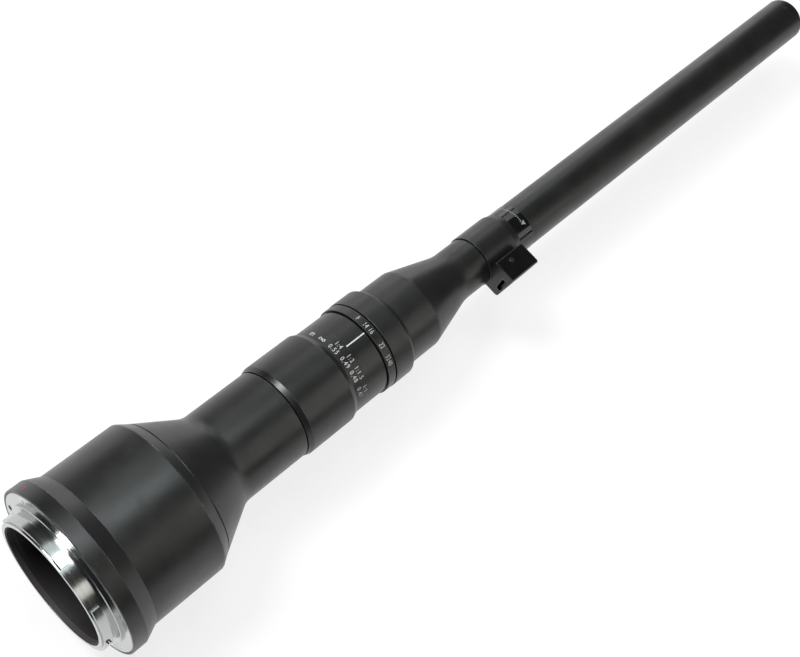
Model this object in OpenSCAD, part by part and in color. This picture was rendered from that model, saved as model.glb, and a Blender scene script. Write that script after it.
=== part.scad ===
// Probe macro lens: a long, thin relay lens for a camera with an interchangeable mount.
// A focus ring drives a cam sleeve that slides a lens carriage, an aperture ring turns a seven blade
// iris, and a lamp box feeds the ring of lamps round the front lens.
// Every module is drawn along the optical axis as local Z: zero is the seating face of the mount and
// plus is toward the tip. Local X is up, where the white index line is, and angles are counted from
// there. The module on_lens() lays this along the X axis of the finished part, with the index on top.

/* [Camera mount] */
// Radius of the chromed seating flange
flange_r = 32.45; // [31.6:0.05:33]
// Thickness of the seating flange
flange_t = 2.4; // [1.8:0.1:3]
// Width of the mount from its outer edge to its bore
mount_w = 8.45; // [8.1:0.05:8.8]
// Wall of the tube that enters the camera
mount_tube_wall = 1.5; // [1.3:0.1:1.8]
// How far the tube reaches behind the seating face
mount_depth = 6.65; // [6:0.05:8]
// How far a lug stands out of the tube
lug_reach = 1.1; // [0.8:0.05:1.4]
// Length of a lug along the axis
lug_len = 3.6; // [2.5:0.1:4]
// Arc of one lug in degrees
lug_arc = 83; // [60:1:100]
// Angle of the middle of the first lug
lug_phase = 83.4; // [0:0.1:119.9]
// Width of the low step round the bore
step_w = 4; // [3.5:0.1:4.2]
// Height of the low step
step_t = 1.1; // [0.6:0.1:1.6]
// Distance of the mount screws from the flange's outer edge
screw_inset = 2.55; // [2.3:0.05:2.75]
// Radius of a mount screw head
screw_head_r = 1.55; // [1.3:0.05:1.7]
// Radius of a mount screw shank
screw_shank_r = 0.8; // [0.6:0.05:0.9]
// Length of a mount screw
screw_len = 6; // [5:0.5:7]
// Radius of the coupling pin beside a lug
stop_pin_r = 0.9; // [0.6:0.05:1.1]
// How far the coupling pin stands out of its lug
stop_pin_reach = 0.9; // [0.5:0.05:1]
// Width of the black throat ring inside the bore
throat_w = 0.8; // [0.7:0.1:1.9]

/* [Rear housing] */
// How far the collar stands out round the flange
collar_rim = 0.9; // [0.7:0.05:2]
// Length of the collar's straight part
collar_len = 5.68; // [4.5:0.02:7]
// Length of the collar's slope
collar_slope_len = 5.69; // [5:0.01:8]
// Drop from the collar to the rear housing
collar_drop = 2.6; // [1.8:0.05:3]
// Length of the rear housing's straight part
rear_len = 29.08; // [20:0.02:40]
// Wall of the rear housing
rear_wall = 2.3; // [1.8:0.1:2.5]
// Drop of the bevel
shoulder_drop = 2.42; // [1.5:0.01:3.5]
// Length of the bevel
shoulder_len = 3.71; // [2:0.01:6]
// Length of the cone behind the waist
cone_len = 17.53; // [14:0.01:30]
// Width of the groove between the bevel and the cone
cone_groove_w = 0.5; // [0.3:0.05:1]
// Depth of that groove, from the bevel's edge
cone_groove_depth = 0.6; // [0.4:0.05:1]
// How far the waist stands over the focus scale
waist_rise = 0.26; // [0.1:0.01:0.6]
// Length of the waist
waist_len = 28.57; // [26:0.01:40]
// Wall of the waist
waist_wall = 1.9; // [1.8:0.05:2]

/* [Focus ring] */
// Gap between the waist and the focus ring
ring_gap = 0.34; // [0.3:0.02:0.6]
// How far the focus ring's grip stands over its scale
grip_rise = 1.19; // [0.8:0.01:2.5]
// Length of the grip with its rounded ends
grip_len = 24.6; // [22:0.1:32]
// Length of the chamfer at the rear of the grip
grip_chamfer_len = 2; // [1:0.1:4]
// Drop of the chamfer at the rear of the grip
grip_chamfer_drop = 0.75; // [0.3:0.05:1]
// Length of the rounded front shoulder of the grip
grip_round_len = 2.2; // [1.5:0.1:3]
// Radius of the neck that carries the focus scale
scale_r = 17.95; // [17:0.01:20]
// Wall of the neck that carries the focus scale
scale_wall = 1.33; // [1.1:0.01:1.5]
// Length of the neck that carries the focus scale
scale_len = 6; // [5:0.1:8]
// Hairline between the focus scale and the index ring
hair_gap = 0.2; // [0.1:0.02:0.3]
// Turn of the focus ring from here to infinity, in degrees
focus_turn_far = 26.2; // [10:0.1:40]
// Turn of the focus ring from here to the nearest focus, in degrees
focus_turn_near = 108; // [60:1:120]
// Travel of the lens carriage over the whole turn
focus_travel = 5; // [4.6:0.1:6]

/* [Aperture ring] */
// Length of the fixed ring with the index line
index_len = 9.2; // [8:0.1:12]
// Width of the dark grooves beside the aperture ring
groove_gap = 0.5; // [0.3:0.02:0.6]
// How far the aperture ring stands over the focus scale
aperture_rise = 0.66; // [0.3:0.01:1.2]
// Length of the aperture ring
aperture_len = 3.63; // [3.4:0.01:6]
// Turn of the aperture ring from here to wide open, in degrees
aperture_turn_open = 5.7; // [2:0.1:10]
// Turn of the aperture ring from here to fully closed, in degrees
aperture_turn_closed = 47.1; // [30:0.1:50]

/* [Iris] */
// Clear radius of the open iris
iris_open_r = 6.5; // [6:0.1:6.8]
// Clear radius of the closed iris
iris_closed_r = 2.28; // [2:0.02:3]
// Width of a blade across its band
blade_w = 3.2; // [3:0.1:3.4]
// Thickness of a blade
blade_t = 0.12; // [0.08:0.01:0.15]
// Space between neighbouring blades
blade_space = 0.08; // [0.05:0.01:0.1]
// Arc of a blade's band in degrees
blade_arc = 150; // [140:1:160]
// Distance of the blade pivots from the barrel's bore
pivot_inset = 2.7; // [2.5:0.05:2.9]
// Radius of the pivot and drive pins
blade_pin_r = 0.4; // [0.3:0.01:0.45]
// Distance from a blade's pivot to its drive pin
blade_lever = 5; // [4.6:0.1:5.4]

/* [Front barrel] */
// How far the front collar stands over the focus scale
front_collar_rise = 0.86; // [0.6:0.01:1.6]
// Length of the front collar's straight part
front_collar_len = 8.9; // [7:0.1:12]
// Length of the front collar's slope
front_slope_len = 2.2; // [1.5:0.1:3]
// How far the front barrel lies below the focus scale
front_drop = 1.14; // [0.7:0.01:1.3]
// Length of the front barrel's straight part
front_len = 14.6; // [10:0.1:20]
// Length of the front cone
front_cone_len = 22.3; // [18:0.1:30]
// How far the neck stands over the probe tube
neck_rise = 0.5; // [0.3:0.01:0.8]
// Length of the neck
neck_len = 13; // [10:0.1:18]

/* [Lamp sleeve and box] */
// Gap between the neck and the lamp sleeve
sleeve_gap = 0.3; // [0.2:0.02:0.5]
// How far the lamp sleeve stands over the probe tube
sleeve_rise = 0.96; // [0.8:0.01:1.3]
// Length of the lamp sleeve's straight part
sleeve_len = 16.5; // [16:0.1:22]
// Length of the lamp sleeve's tapered end
sleeve_taper_len = 3; // [1.5:0.1:4]
// How far the glossy marking band stands over the probe tube
band_rise = 0.2; // [0.15:0.01:0.35]
// Length of the glossy marking band
band_len = 7.8; // [6:0.1:12]
// Size of the lamp box along the barrel
box_len = 15.3; // [14:0.1:16]
// Height of the lamp box above the optical axis
box_top = 12.5; // [11.5:0.1:14]
// Depth of the lamp box below the optical axis
box_bottom = 3; // [2:0.1:4]
// Reach of the lamp box beyond the lamp sleeve
box_depth = 7.74; // [7:0.02:9]
// How far the lamp box's near side lies inside the lamp sleeve
box_sink = 2.36; // [2:0.02:2.9]
// Gap between the start of the lamp sleeve and the lamp box
box_start = 0.2; // [0.1:0.1:1]
// Radius of the lamp box's edges
box_edge_r = 1.1; // [0.5:0.1:1.4]
// Wall of the lamp box
box_wall = 1; // [0.8:0.05:1.2]
// Width of the supply socket's mouth
socket_w = 7.4; // [7:0.1:8]
// Height of the supply socket's mouth
socket_h = 2.6; // [2.4:0.05:2.8]
// Radius of the lamp button
button_r = 1.15; // [0.9:0.05:1.3]
// Distance of the supply socket from the lamp box's outer side
socket_inset = 2.6; // [2.5:0.05:3]
// Distance of the lamp button from the lamp box's near side
button_inset = 3.15; // [3:0.05:3.6]
// Distance of the lamp button from the rear of its box
button_place = 6.7; // [6:0.1:8]
// Travel of the lamp button
button_travel = 0.35; // [0.2:0.05:0.4]

/* [Probe tube] */
// Outer radius of the probe tube
tube_r = 10; // [9.9:0.01:10.05]
// Wall of the probe tube
tube_wall = 1; // [0.8:0.05:1.1]
// How much the tube is turned down under the lamp sleeve
tube_seat_drop = 0.2; // [0.16:0.01:0.3]
// Distance from the marking band to the tip
tube_reach = 199.5; // [150:0.5:260]
// Radius of the tip's edge
tip_edge_r = 0.9; // [0.4:0.1:1.2]
// Length of the nose ring
nose_len = 5; // [4.5:0.1:6]
// Radius of the front lens
front_lens_r = 3.6; // [3:0.1:3.8]
// Number of lamps round the front lens
lamp_count = 10; // [8:1:12]

/* [Hidden] */

// Roundness of turned pieces and of small round ones
turn_fn = 128;
small_fn = 40;

// Fits: seated pieces of one body, turning or sliding pieces, and free space round moving ones
seat_gap = 0.02;
run_gap = 0.05;
free_gap = 0.35;
// Overrun of every cut
cut = 0.5;

// Radii of the mount and the rear housing, from the flange inward
mount_bore_r = flange_r - mount_w;
step_r = mount_bore_r + step_w;
screw_circle_r = flange_r - screw_inset;
throat_r = mount_bore_r - throat_w;
collar_r = flange_r + collar_rim;
rear_r = collar_r - collar_drop;
shoulder_r = rear_r - shoulder_drop;

// Radii of the middle barrel and its rings, which all follow the focus scale
waist_r = scale_r + waist_rise;
focus_r = scale_r + grip_rise;
aperture_r = scale_r + aperture_rise;
front_collar_r = scale_r + front_collar_rise;
front_r = scale_r - front_drop;

// Radii round the probe tube, and the sides of the lamp box on it
neck_r = tube_r + neck_rise;
sleeve_r = tube_r + sleeve_rise;
band_r = tube_r + band_rise;
tube_seat_r = tube_r - tube_seat_drop;
box_near = sleeve_r - box_sink;
box_reach = sleeve_r + box_depth;

// Places along the axis, from the seating face to the tip
collar_z = collar_len + collar_slope_len;
shoulder_z = collar_z + rear_len;
cone_z = shoulder_z + shoulder_len;
waist_z = cone_z + cone_len;
waist_end_z = waist_z + waist_len;
focus_z = waist_end_z + ring_gap;
scale_z = focus_z + grip_len;
scale_end_z = scale_z + scale_len;
index_z = scale_end_z + hair_gap;
index_end_z = index_z + index_len;
aperture_z = index_end_z + groove_gap;
aperture_end_z = aperture_z + aperture_len;
front_z = aperture_end_z + groove_gap;
front_slope_z = front_z + front_collar_len;
front_barrel_z = front_slope_z + front_slope_len;
front_cone_z = front_barrel_z + front_len;
neck_z = front_cone_z + front_cone_len;
neck_end_z = neck_z + neck_len;
sleeve_z = neck_end_z + sleeve_gap;
sleeve_taper_z = sleeve_z + sleeve_len;
band_z = sleeve_taper_z + sleeve_taper_len;
band_end_z = band_z + band_len;
tip_z = band_end_z + tube_reach;

// Mount
mount_tube_r = mount_bore_r + mount_tube_wall;
lug_r = mount_tube_r + lug_reach;
lug_count = 3;
mount_edge = 0.25;
lug_inset = 0.45;
lug_gap_relief = 0.06;
screw_angles = [53, 127, 233, 307];
screw_head_t = 1.1;
latch_angle = 265;
latch_len = 3.2;
latch_w = 1.7;
pin_angle = 80;
throat_inset = 0.3;
throat_ring_len = 15;
throat_mouth_len = 2.3;
throat_mouth_step = 0.4;
collar_web_t = 5;
collar_edge = 0.35;

// Rear housing
rear_bore_r = rear_r - rear_wall;
spigot_wall_share = 0.43;
rear_spigot_r = rear_r - spigot_wall_share * rear_wall;
waist_bore_r = waist_r - waist_wall;
cone_fillet_r = 9;
bevel_fillet_r = 1;
edge_r = 0.3;

// Rear cell with the last lenses before the camera
cell_place_share = 0.03;
cell_seat_z = waist_z + cell_place_share * waist_len;
cell_len = 16;
cell_wall = 1.6;
cell_r = waist_bore_r - seat_gap;
cell_bore_r = cell_r - cell_wall;
cell_lip = 0.8;
lens_gap = 0.03;
retainer_t = 1.6;
retainer_w = 1.5;
// Lenses of the rear cell, counted from the camera: start and thickness of each rim, and the bulge
rear_lens_shares = [[0, 0.24], [0.44, 0.2], [0.8, 0.2]];
rear_bulge_share = 0.12;

// Main barrel, cam sleeve and focus ring, each turning inside the next
sleeve_wall = 0.95;
focus_bore_r = scale_r - scale_wall;
cam_outer_r = focus_bore_r - seat_gap;
cam_r = cam_outer_r - sleeve_wall;
barrel_r = cam_r - run_gap;
barrel_wall = 1.1;
barrel_bore_r = barrel_r - barrel_wall;
barrel_flange_len = 9.5;
barrel_flange_z = waist_end_z - barrel_flange_len;
barrel_overhang = 4.5;
barrel_end_z = front_barrel_z + barrel_overhang;
iris_rib_t = 2;
iris_rib_w = 2;

// Focus drive: cam sleeve, followers and carriage
cam_margin = 2.4;
follower_r = 1.2;
follower_count = 3;
follower_root = 1.6;
follower_z = focus_z + grip_len / 2;
focus_turn = focus_turn_far + focus_turn_near;
focus_rate = focus_travel / focus_turn;
carriage_r = barrel_bore_r - run_gap;
carriage_wall = 2;
carriage_len = 15;
carriage_z = follower_z - carriage_len / 2;
cam_steps = 6;
cam_joint_relief = 0.02;
key_angle = 180 / follower_count;
key_w = 2;
key_t = 1.4;
key_len = 3;
grip_step = 0.35;
// Focusing lenses: start of the second rim, thickness of both rims, and the bulge
focus_place_share = 0.68;
focus_rim_share = 0.3;
focus_bulge_share = 0.1;

// Iris: places along the axis and turning ratio of the blades
blade_count = 7;
drive_t = 2;
drive_z = aperture_z + (aperture_len - drive_t) / 2;
stack_t = blade_count * (blade_t + blade_space) + blade_space;
iris_base_t = 1;
iris_base_z = drive_z - stack_t - iris_base_t;
aperture_turn = aperture_turn_open + aperture_turn_closed;
pivot_circle_r = barrel_bore_r - pivot_inset;
blade_setback = 0.08;
blade_edge_r = iris_open_r + blade_setback;
blade_angle_step = 0.01;
blade_swing = 2 * asin((blade_edge_r - iris_closed_r) / (2 * pivot_circle_r));
blade_ratio = blade_swing / aperture_turn;
blade_rest = blade_ratio * aperture_turn_open;
blade_lobe_r = 0.85;
lever_start_angle = 18;
iris_r = barrel_bore_r - seat_gap;
drive_ring_r = barrel_bore_r - run_gap;
drive_ring_w = 4.2;
drive_inner_r = barrel_bore_r - drive_ring_w;
blade_pin_gap = 0.03;
aperture_pin_r = 0.7;
aperture_pin_angle = 200;
aperture_pin_root = 0.6;
aperture_pin_reach = 1.6;
iris_retainer_t = 1.2;
iris_slot_steps = 16;
// Lenses in front of the iris: rim of the first, start and rim of the second, counted in the first's rim
stop_rim_share = 0.16;
stop_place_share = 2.8;
stop_second_share = 1.2;

// Front barrel and relay
collar_lip_t = 2.6;
taper_wall = 1.7;
tube_bore_r = tube_r - tube_wall;
spigot_r = tube_bore_r - seat_gap;
spigot_wall = 0.73;
spigot_len = 6;
taper_bore_r = spigot_r - spigot_wall;
taper_fillet_r = 4;
neck_fillet_r = 18;
sleeve_fillet_r = 1.2;
relay_r = taper_bore_r - seat_gap;
relay_wall = 1;
relay_bore_r = relay_r - relay_wall;
relay_glass_r = relay_bore_r - seat_gap;
relay_count = 4;
relay_glass_t = 6;
relay_bulge = 1.2;
relay_spacer_wall = 0.9;
relay_start_z = neck_z - front_cone_len / 4;

// Nose
nose_z = tip_z - nose_len;
nose_wall = 0.85;
nose_recess = 0.5;
window_t = 1.1;
board_t = 0.8;
lamp_size = 1.5;
lamp_h = 0.7;
bezel_w = 0.7;
bezel_r = front_lens_r + seat_gap + bezel_w;
objective_len = 26;
objective_z = nose_z - objective_len;
front_lens_t = 1.6;
front_dish_share = 0.25;
window_z = tip_z - nose_recess - window_t - seat_gap;
lamp_z = window_z - lamp_h - 2 * seat_gap;
lamp_board_z = lamp_z - board_t - seat_gap;
// Objective lenses: count, and the gap, rim and bulge of each in shares of its stretch of the cell
objective_count = 3;
objective_gap_share = 0.4;
objective_rim_share = 0.4;
objective_bulge_share = 0.12;
// Pitch of the relay lenses
relay_pitch = (objective_z - relay_start_z - relay_glass_t) / relay_count;

// Lamp ribbon, and the bore of the nose ring's spigot that leaves room for it
ribbon_t = 0.3;
ribbon_arc = 18;
ribbon_angle = 74;
nose_spigot_r = relay_r + ribbon_t + 3 * seat_gap;

// Lamp box
box_z = sleeve_z + box_start;
cover_t = 0.8;
cover_frame = 0.45;
floor_t = 1;
supply_board_t = 0.8;
socket_wall = 0.3;
socket_depth = 5.2;
socket_edge = 0.7;
socket_x = 4.6;
socket_y = box_reach - socket_inset;
board_y = socket_y - socket_h / 2 - socket_wall - supply_board_t - seat_gap;
tongue_t = 0.6;
tongue_gap = 0.5;
button_y = box_near + button_inset;
button_z = box_z + button_place;
button_len = 2;
switch_size = 3.3;
switch_h = 1;
switch_top = box_top - button_len - button_travel - free_gap;
box_screw_r = 0.65;
box_screw_head_r = 1.15;
box_screw_head_t = 0.7;
// Places of the lamp box's screws along the box
box_screw_shares = [0.16, 0.84];

// Point on a circle round the axis, at a radius and an angle
function around(r, a) = [r * cos(a), r * sin(a)];

// Arc that rounds the corner b between a and c with radius r
function corner(a, b, c, r, n = 4) =
    let (
        u = (a - b) / norm(a - b),
        v = (c - b) / norm(c - b),
        half = acos(u * v) / 2,
        mid = b + (u + v) / norm(u + v) * r / sin(half),
        from = b + u * r / tan(half) - mid,
        to = b + v * r / tan(half) - mid,
        a0 = atan2(from.y, from.x),
        turn = atan2(from.x * to.y - from.y * to.x, from * to)
    )
    [for (i = [0:n]) mid + around(r, a0 + turn * i / n)];

// Closed outline whose points are [x, y] or, with a rounded corner, [x, y, radius]
function rounded(pts) =
    let (n = len(pts))
    [for (i = [0:n - 1])
        let (
            p = pts[i],
            here = [p.x, p.y],
            before = [pts[(i + n - 1) % n].x, pts[(i + n - 1) % n].y],
            after = [pts[(i + 1) % n].x, pts[(i + 1) % n].y]
        )
        each len(p) > 2 ? corner(before, here, after, p[2]) : [here]];

// Corners of a box in the plane, with one radius for all four
function box_outline(x0, x1, y0, y1, r) =
    rounded([[x0, y0, r], [x1, y0, r], [x1, y1, r], [x0, y1, r]]);

// Outline of a lens: rim radius, start, rim thickness, bulge of the rear and of the front face
function lens_outline(r, z, t, rear_bulge, front_bulge, n = 8) =
    concat(
        [for (i = [0:n]) [r * i / n, z - rear_bulge * (1 - pow(i / n, 2))]],
        [for (i = [0:n]) [r * (1 - i / n), z + t + front_bulge * (1 - pow(1 - i / n, 2))]]
    );

// Height of a bulged face above its rim at the inner edge of a seat of width w
function seat_rise(r, w, bulge) = bulge * (1 - pow((r - w) / r, 2));

// Lays a piece drawn along local Z on the X axis of the part, with local X upward
module on_lens() {
    rotate([0, 90, 0]) rotate([0, 0, 180]) children();
}

// Solid turned round the axis from an outline of [radius, place] points
module turned(pts) {
    rotate_extrude($fn = turn_fn) polygon(rounded(pts));
}

// Plain tube between two places
module tube(r_out, r_in, z0, z1) {
    turned([[r_in, z0], [r_out, z0], [r_out, z1], [r_in, z1]]);
}

// Stretch of a ring between two angles
module ring_part(r_out, r_in, z0, z1, a0, a1) {
    rotate([0, 0, a0]) rotate_extrude(angle = a1 - a0, $fn = turn_fn)
        polygon([[r_in, z0], [r_out, z0], [r_out, z1], [r_in, z1]]);
}

// Round bar that points away from the axis at an angle
module spoke(r, from_r, to_r, z, a) {
    rotate([0, 0, a]) translate([from_r, 0, z]) rotate([0, 90, 0])
        cylinder(r = r, h = to_r - from_r, $fn = small_fn);
}

// Turned lens
module lens(r, z, t, rear_bulge, front_bulge) {
    rotate_extrude($fn = turn_fn) polygon(lens_outline(r, z, t, rear_bulge, front_bulge));
}

// Chromed mount: seating flange, low step, tube and a lug ring whose gaps are milled away
module bayonet_mount() {
    rim_z = -mount_depth;
    lug_z = lug_len - mount_depth;
    gap_arc = 360 / lug_count - lug_arc;
    color("silver") on_lens() difference() {
        turned([[mount_bore_r, rim_z], [mount_tube_r, rim_z], [mount_tube_r, rim_z + lug_inset],
            [lug_r - mount_edge, rim_z + lug_inset], [lug_r, rim_z + lug_inset + mount_edge],
            [lug_r, lug_z], [mount_tube_r, lug_z], [mount_tube_r, -step_t], [step_r - mount_edge, -step_t],
            [step_r, mount_edge - step_t], [step_r, 0], [flange_r - mount_edge, 0], [flange_r, mount_edge],
            [flange_r, flange_t], [mount_bore_r, flange_t]]);
        for (i = [0:lug_count - 1]) {
            start = lug_phase + lug_arc / 2 + i * 360 / lug_count;
            ring_part(lug_r + cut, mount_tube_r - lug_gap_relief, rim_z - cut, lug_z + cut, start,
                start + gap_arc);
        }
        for (a = screw_angles) rotate([0, 0, a]) translate([screw_circle_r, 0, 0]) {
            translate([0, 0, -cut])
                cylinder(r = screw_shank_r + seat_gap, h = flange_t + 2 * cut, $fn = small_fn);
            translate([0, 0, -seat_gap])
                cylinder(r1 = screw_head_r + seat_gap, r2 = screw_shank_r + seat_gap, h = screw_head_t,
                    $fn = small_fn);
        }
        rotate([0, 0, latch_angle]) latch_slot();
        spoke(stop_pin_r + seat_gap, mount_bore_r + mount_tube_wall / 2, lug_r + cut,
            lug_len / 2 - mount_depth, pin_angle);
    }
}

// Slot that the camera's latch pin drops into
module latch_slot() {
    translate([screw_circle_r, 0, -cut]) linear_extrude(flange_t + 2 * cut) union() {
        square([latch_w, latch_len - latch_w], center = true);
        for (s = [-1, 1]) translate([0, s * (latch_len - latch_w) / 2])
            circle(r = latch_w / 2, $fn = small_fn);
    }
}

// Four countersunk screws that hold the mount to the collar
module mount_screws() {
    color("silver") on_lens() for (a = screw_angles) rotate([0, 0, a]) translate([screw_circle_r, 0, 0])
        difference() {
            rotate_extrude($fn = small_fn) polygon([[0, 0], [screw_head_r, 0],
                [screw_shank_r, screw_head_t - seat_gap], [screw_shank_r, screw_len], [0, screw_len]]);
            for (t = [0, 90]) rotate([0, 0, t])
                cube([screw_head_r, screw_shank_r / 2, screw_head_t], center = true);
        }
}

// Pin beside the lug that the camera body feels for
module coupling_pin() {
    root_r = mount_bore_r + mount_tube_wall / 2 + seat_gap;
    len = lug_r + stop_pin_reach - root_r;
    color("silver") on_lens() rotate([0, 0, pin_angle]) translate([root_r, 0, lug_len / 2 - mount_depth])
        rotate([0, 90, 0]) rotate_extrude($fn = small_fn)
            polygon(rounded([[0, 0], [stop_pin_r, 0], [stop_pin_r, len, edge_r], [0, len]]));
}

// Black ring that lines the throat, a little behind the end of the tube
module throat_ring() {
    mouth_r = throat_r + throat_mouth_step;
    face_z = throat_inset - mount_depth;
    outer_r = mount_bore_r - seat_gap;
    color([0.08, 0.08, 0.09]) on_lens() turned([[mouth_r, face_z], [outer_r, face_z],
        [outer_r, throat_ring_len - mount_depth], [throat_r, throat_ring_len - mount_depth],
        [throat_r, throat_mouth_len + throat_mouth_step - mount_depth],
        [mouth_r, throat_mouth_len - mount_depth]]);
}

// Collar that takes the mount on one side and screws onto the rear housing on the other
module mount_collar() {
    web_z = flange_t + collar_web_t;
    color([0.16, 0.16, 0.17]) on_lens() difference() {
        turned([[flange_r + seat_gap, 0], [collar_r, 0, collar_edge], [collar_r, collar_len, collar_edge],
            [rear_r, collar_z], [rear_spigot_r + seat_gap, collar_z], [rear_spigot_r + seat_gap, web_z],
            [mount_bore_r + seat_gap, web_z], [mount_bore_r + seat_gap, flange_t + seat_gap],
            [flange_r + seat_gap, flange_t + seat_gap]]);
        for (a = screw_angles) rotate([0, 0, a]) translate([screw_circle_r, 0, 0])
            cylinder(r = screw_shank_r + seat_gap, h = screw_len + seat_gap, $fn = small_fn);
    }
}

// Rear housing: wide drum, bevel, cone and waist in one turned shell
module rear_housing() {
    web_z = flange_t + collar_web_t + seat_gap;
    groove_r = shoulder_r - cone_groove_depth;
    cone_start_r = shoulder_r - (shoulder_r - waist_r) * cone_groove_w / cone_len;
    color([0.16, 0.16, 0.17]) on_lens() turned([[rear_bore_r, web_z], [rear_spigot_r, web_z],
        [rear_spigot_r, collar_z + seat_gap], [rear_r, collar_z + seat_gap],
        [rear_r, shoulder_z, bevel_fillet_r], [shoulder_r, cone_z], [groove_r, cone_z],
        [groove_r, cone_z + cone_groove_w], [cone_start_r, cone_z + cone_groove_w],
        [waist_r, waist_z, cone_fillet_r], [waist_r, waist_end_z, edge_r],
        [waist_bore_r, waist_end_z], [waist_bore_r, waist_z], [rear_bore_r, shoulder_z - shoulder_len]]);
}

// Cell for the last lenses, seated in the waist
module rear_cell() {
    color([0.1, 0.1, 0.11]) on_lens() turned([[cell_bore_r - cell_lip, cell_seat_z + cell_len - cell_wall],
        [cell_bore_r, cell_seat_z + cell_len - cell_wall], [cell_bore_r, cell_seat_z + cell_wall],
        [cell_r - cell_lip, cell_seat_z], [cell_r, cell_seat_z], [cell_r, cell_seat_z + cell_len],
        [cell_bore_r - cell_lip, cell_seat_z + cell_len]]);
}

// Three lenses of the rear cell
module rear_lenses() {
    r = cell_bore_r - seat_gap;
    bulge = rear_bulge_share * cell_len * (1 - retainer_w / r);
    start = cell_seat_z + cell_wall + retainer_t + seat_rise(r, retainer_w, bulge) + lens_gap;
    span = cell_seat_z + cell_len - cell_wall - lens_gap - start;
    color([0.6, 0.75, 0.8, 0.5]) on_lens() {
        lens(r, start + rear_lens_shares[0][0] * span, rear_lens_shares[0][1] * span, bulge, bulge);
        lens(r, start + rear_lens_shares[1][0] * span, rear_lens_shares[1][1] * span, -bulge, bulge / 2);
        lens(r, start + rear_lens_shares[2][0] * span, rear_lens_shares[2][1] * span, bulge / 4,
            -bulge / 2);
    }
}

// Threaded ring that holds the rear lenses in their cell
module rear_retainer() {
    z = cell_seat_z + cell_wall;
    color([0.1, 0.1, 0.11]) on_lens()
        tube(cell_bore_r - seat_gap, cell_bore_r - retainer_w, z, z + retainer_t);
}

// Straight slot through the barrel wall, between two places of its round ends
module guide_slot(half_w, z0, z1) {
    end_share = 0.96;
    translate([barrel_bore_r - cut, 0, 0]) rotate([0, 90, 0]) linear_extrude(barrel_wall + 2 * cut)
        polygon(box_outline(-z1 - half_w, half_w - z0, -half_w, half_w, end_share * half_w));
}

// Fixed barrel: flange in the waist, guide slots for the followers, slot for the aperture pin
module main_barrel() {
    rib_z = iris_base_z - seat_gap;
    slot_from = follower_z - focus_rate * focus_turn_far;
    slot_to = follower_z + focus_rate * focus_turn_near;
    pin_z = drive_z + drive_t / 2;
    half_w = aperture_pin_r + free_gap;
    end_angle = asin(half_w / barrel_bore_r);
    color([0.3, 0.3, 0.31]) on_lens() difference() {
        turned([[barrel_bore_r, barrel_flange_z], [waist_bore_r - seat_gap, barrel_flange_z],
            [waist_bore_r - seat_gap, waist_end_z], [barrel_r, waist_end_z], [barrel_r, barrel_end_z],
            [barrel_bore_r, barrel_end_z], [barrel_bore_r, rib_z], [barrel_bore_r - iris_rib_w, rib_z],
            [barrel_bore_r - iris_rib_w, rib_z - iris_rib_t], [barrel_bore_r, rib_z - iris_rib_t]]);
        for (i = [0:follower_count - 1]) rotate([0, 0, i * 360 / follower_count])
            guide_slot(follower_r + run_gap, slot_from - free_gap, slot_to + free_gap);
        ring_part(barrel_r + cut, barrel_bore_r - cut, pin_z - half_w, pin_z + half_w,
            aperture_pin_angle - aperture_turn_closed - end_angle,
            aperture_pin_angle + aperture_turn_open + end_angle);
    }
}

// Focus ring: grip with a chamfered rear and a rounded front, and the neck with the scale
module focus_ring() {
    back_r = focus_r - grip_chamfer_drop;
    color([0.17, 0.17, 0.18]) on_lens() difference() {
        turned([[focus_bore_r, focus_z], [back_r, focus_z], [focus_r, focus_z + grip_chamfer_len, edge_r],
            [focus_r, scale_z - grip_round_len, grip_round_len], [scale_r + grip_step, scale_z - edge_r],
            [scale_r + grip_step, scale_z], [scale_r, scale_z], [scale_r, scale_end_z, edge_r / 2],
            [focus_bore_r, scale_end_z]]);
        rotate([0, 0, key_angle]) key_shape(seat_gap);
    }
}

// Key block, grown on all sides by a gap
module key_shape(gap) {
    translate([cam_outer_r - key_t / 2 - gap, -key_w / 2 - gap, focus_z - (gap > 0 ? cut : 0) + edge_r])
        cube([key_t + 2 * gap, key_w + 2 * gap, key_len + (gap > 0 ? cut : 0) + gap]);
}

// Key that makes the cam sleeve turn with the focus ring
module focus_key() {
    color("silver") on_lens() rotate([0, 0, key_angle]) key_shape(0);
}

// Helical slot: straight cuts, each tilted by the lead, with a round bar at every joint and at both ends
module cam_slot() {
    half_w = follower_r + run_gap;
    r0 = cam_r - cut;
    r1 = cam_outer_r + cut;
    step = focus_turn / cam_steps;
    chord = (cam_r + cam_outer_r) * sin(step / 2);
    lead_angle = atan(focus_rate * step / chord);
    cut_len = chord / cos(lead_angle);
    for (i = [0:cam_steps - 1]) {
        a = (i + 0.5) * step - focus_turn_far;
        rotate([0, 0, a]) translate([r0, 0, follower_z + focus_rate * a]) rotate([lead_angle, 0, 0])
            translate([0, -cut_len / 2, -half_w]) cube([r1 - r0, cut_len, 2 * half_w]);
    }
    for (i = [0:cam_steps]) {
        a = i * step - focus_turn_far;
        spoke(half_w + cam_joint_relief, r0, r1, follower_z + focus_rate * a, a);
    }
}

// Cam sleeve between the barrel and the focus ring, one helical slot for each follower
module focus_cam_sleeve() {
    z0 = focus_z + edge_r;
    z1 = follower_z + focus_rate * focus_turn_near + follower_r + cam_margin;
    color([0.62, 0.55, 0.3]) on_lens() difference() {
        tube(cam_outer_r, cam_r, z0, z1);
        for (i = [0:follower_count - 1]) rotate([0, 0, i * 360 / follower_count]) cam_slot();
        rotate([0, 0, key_angle]) key_shape(seat_gap);
    }
}

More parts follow.
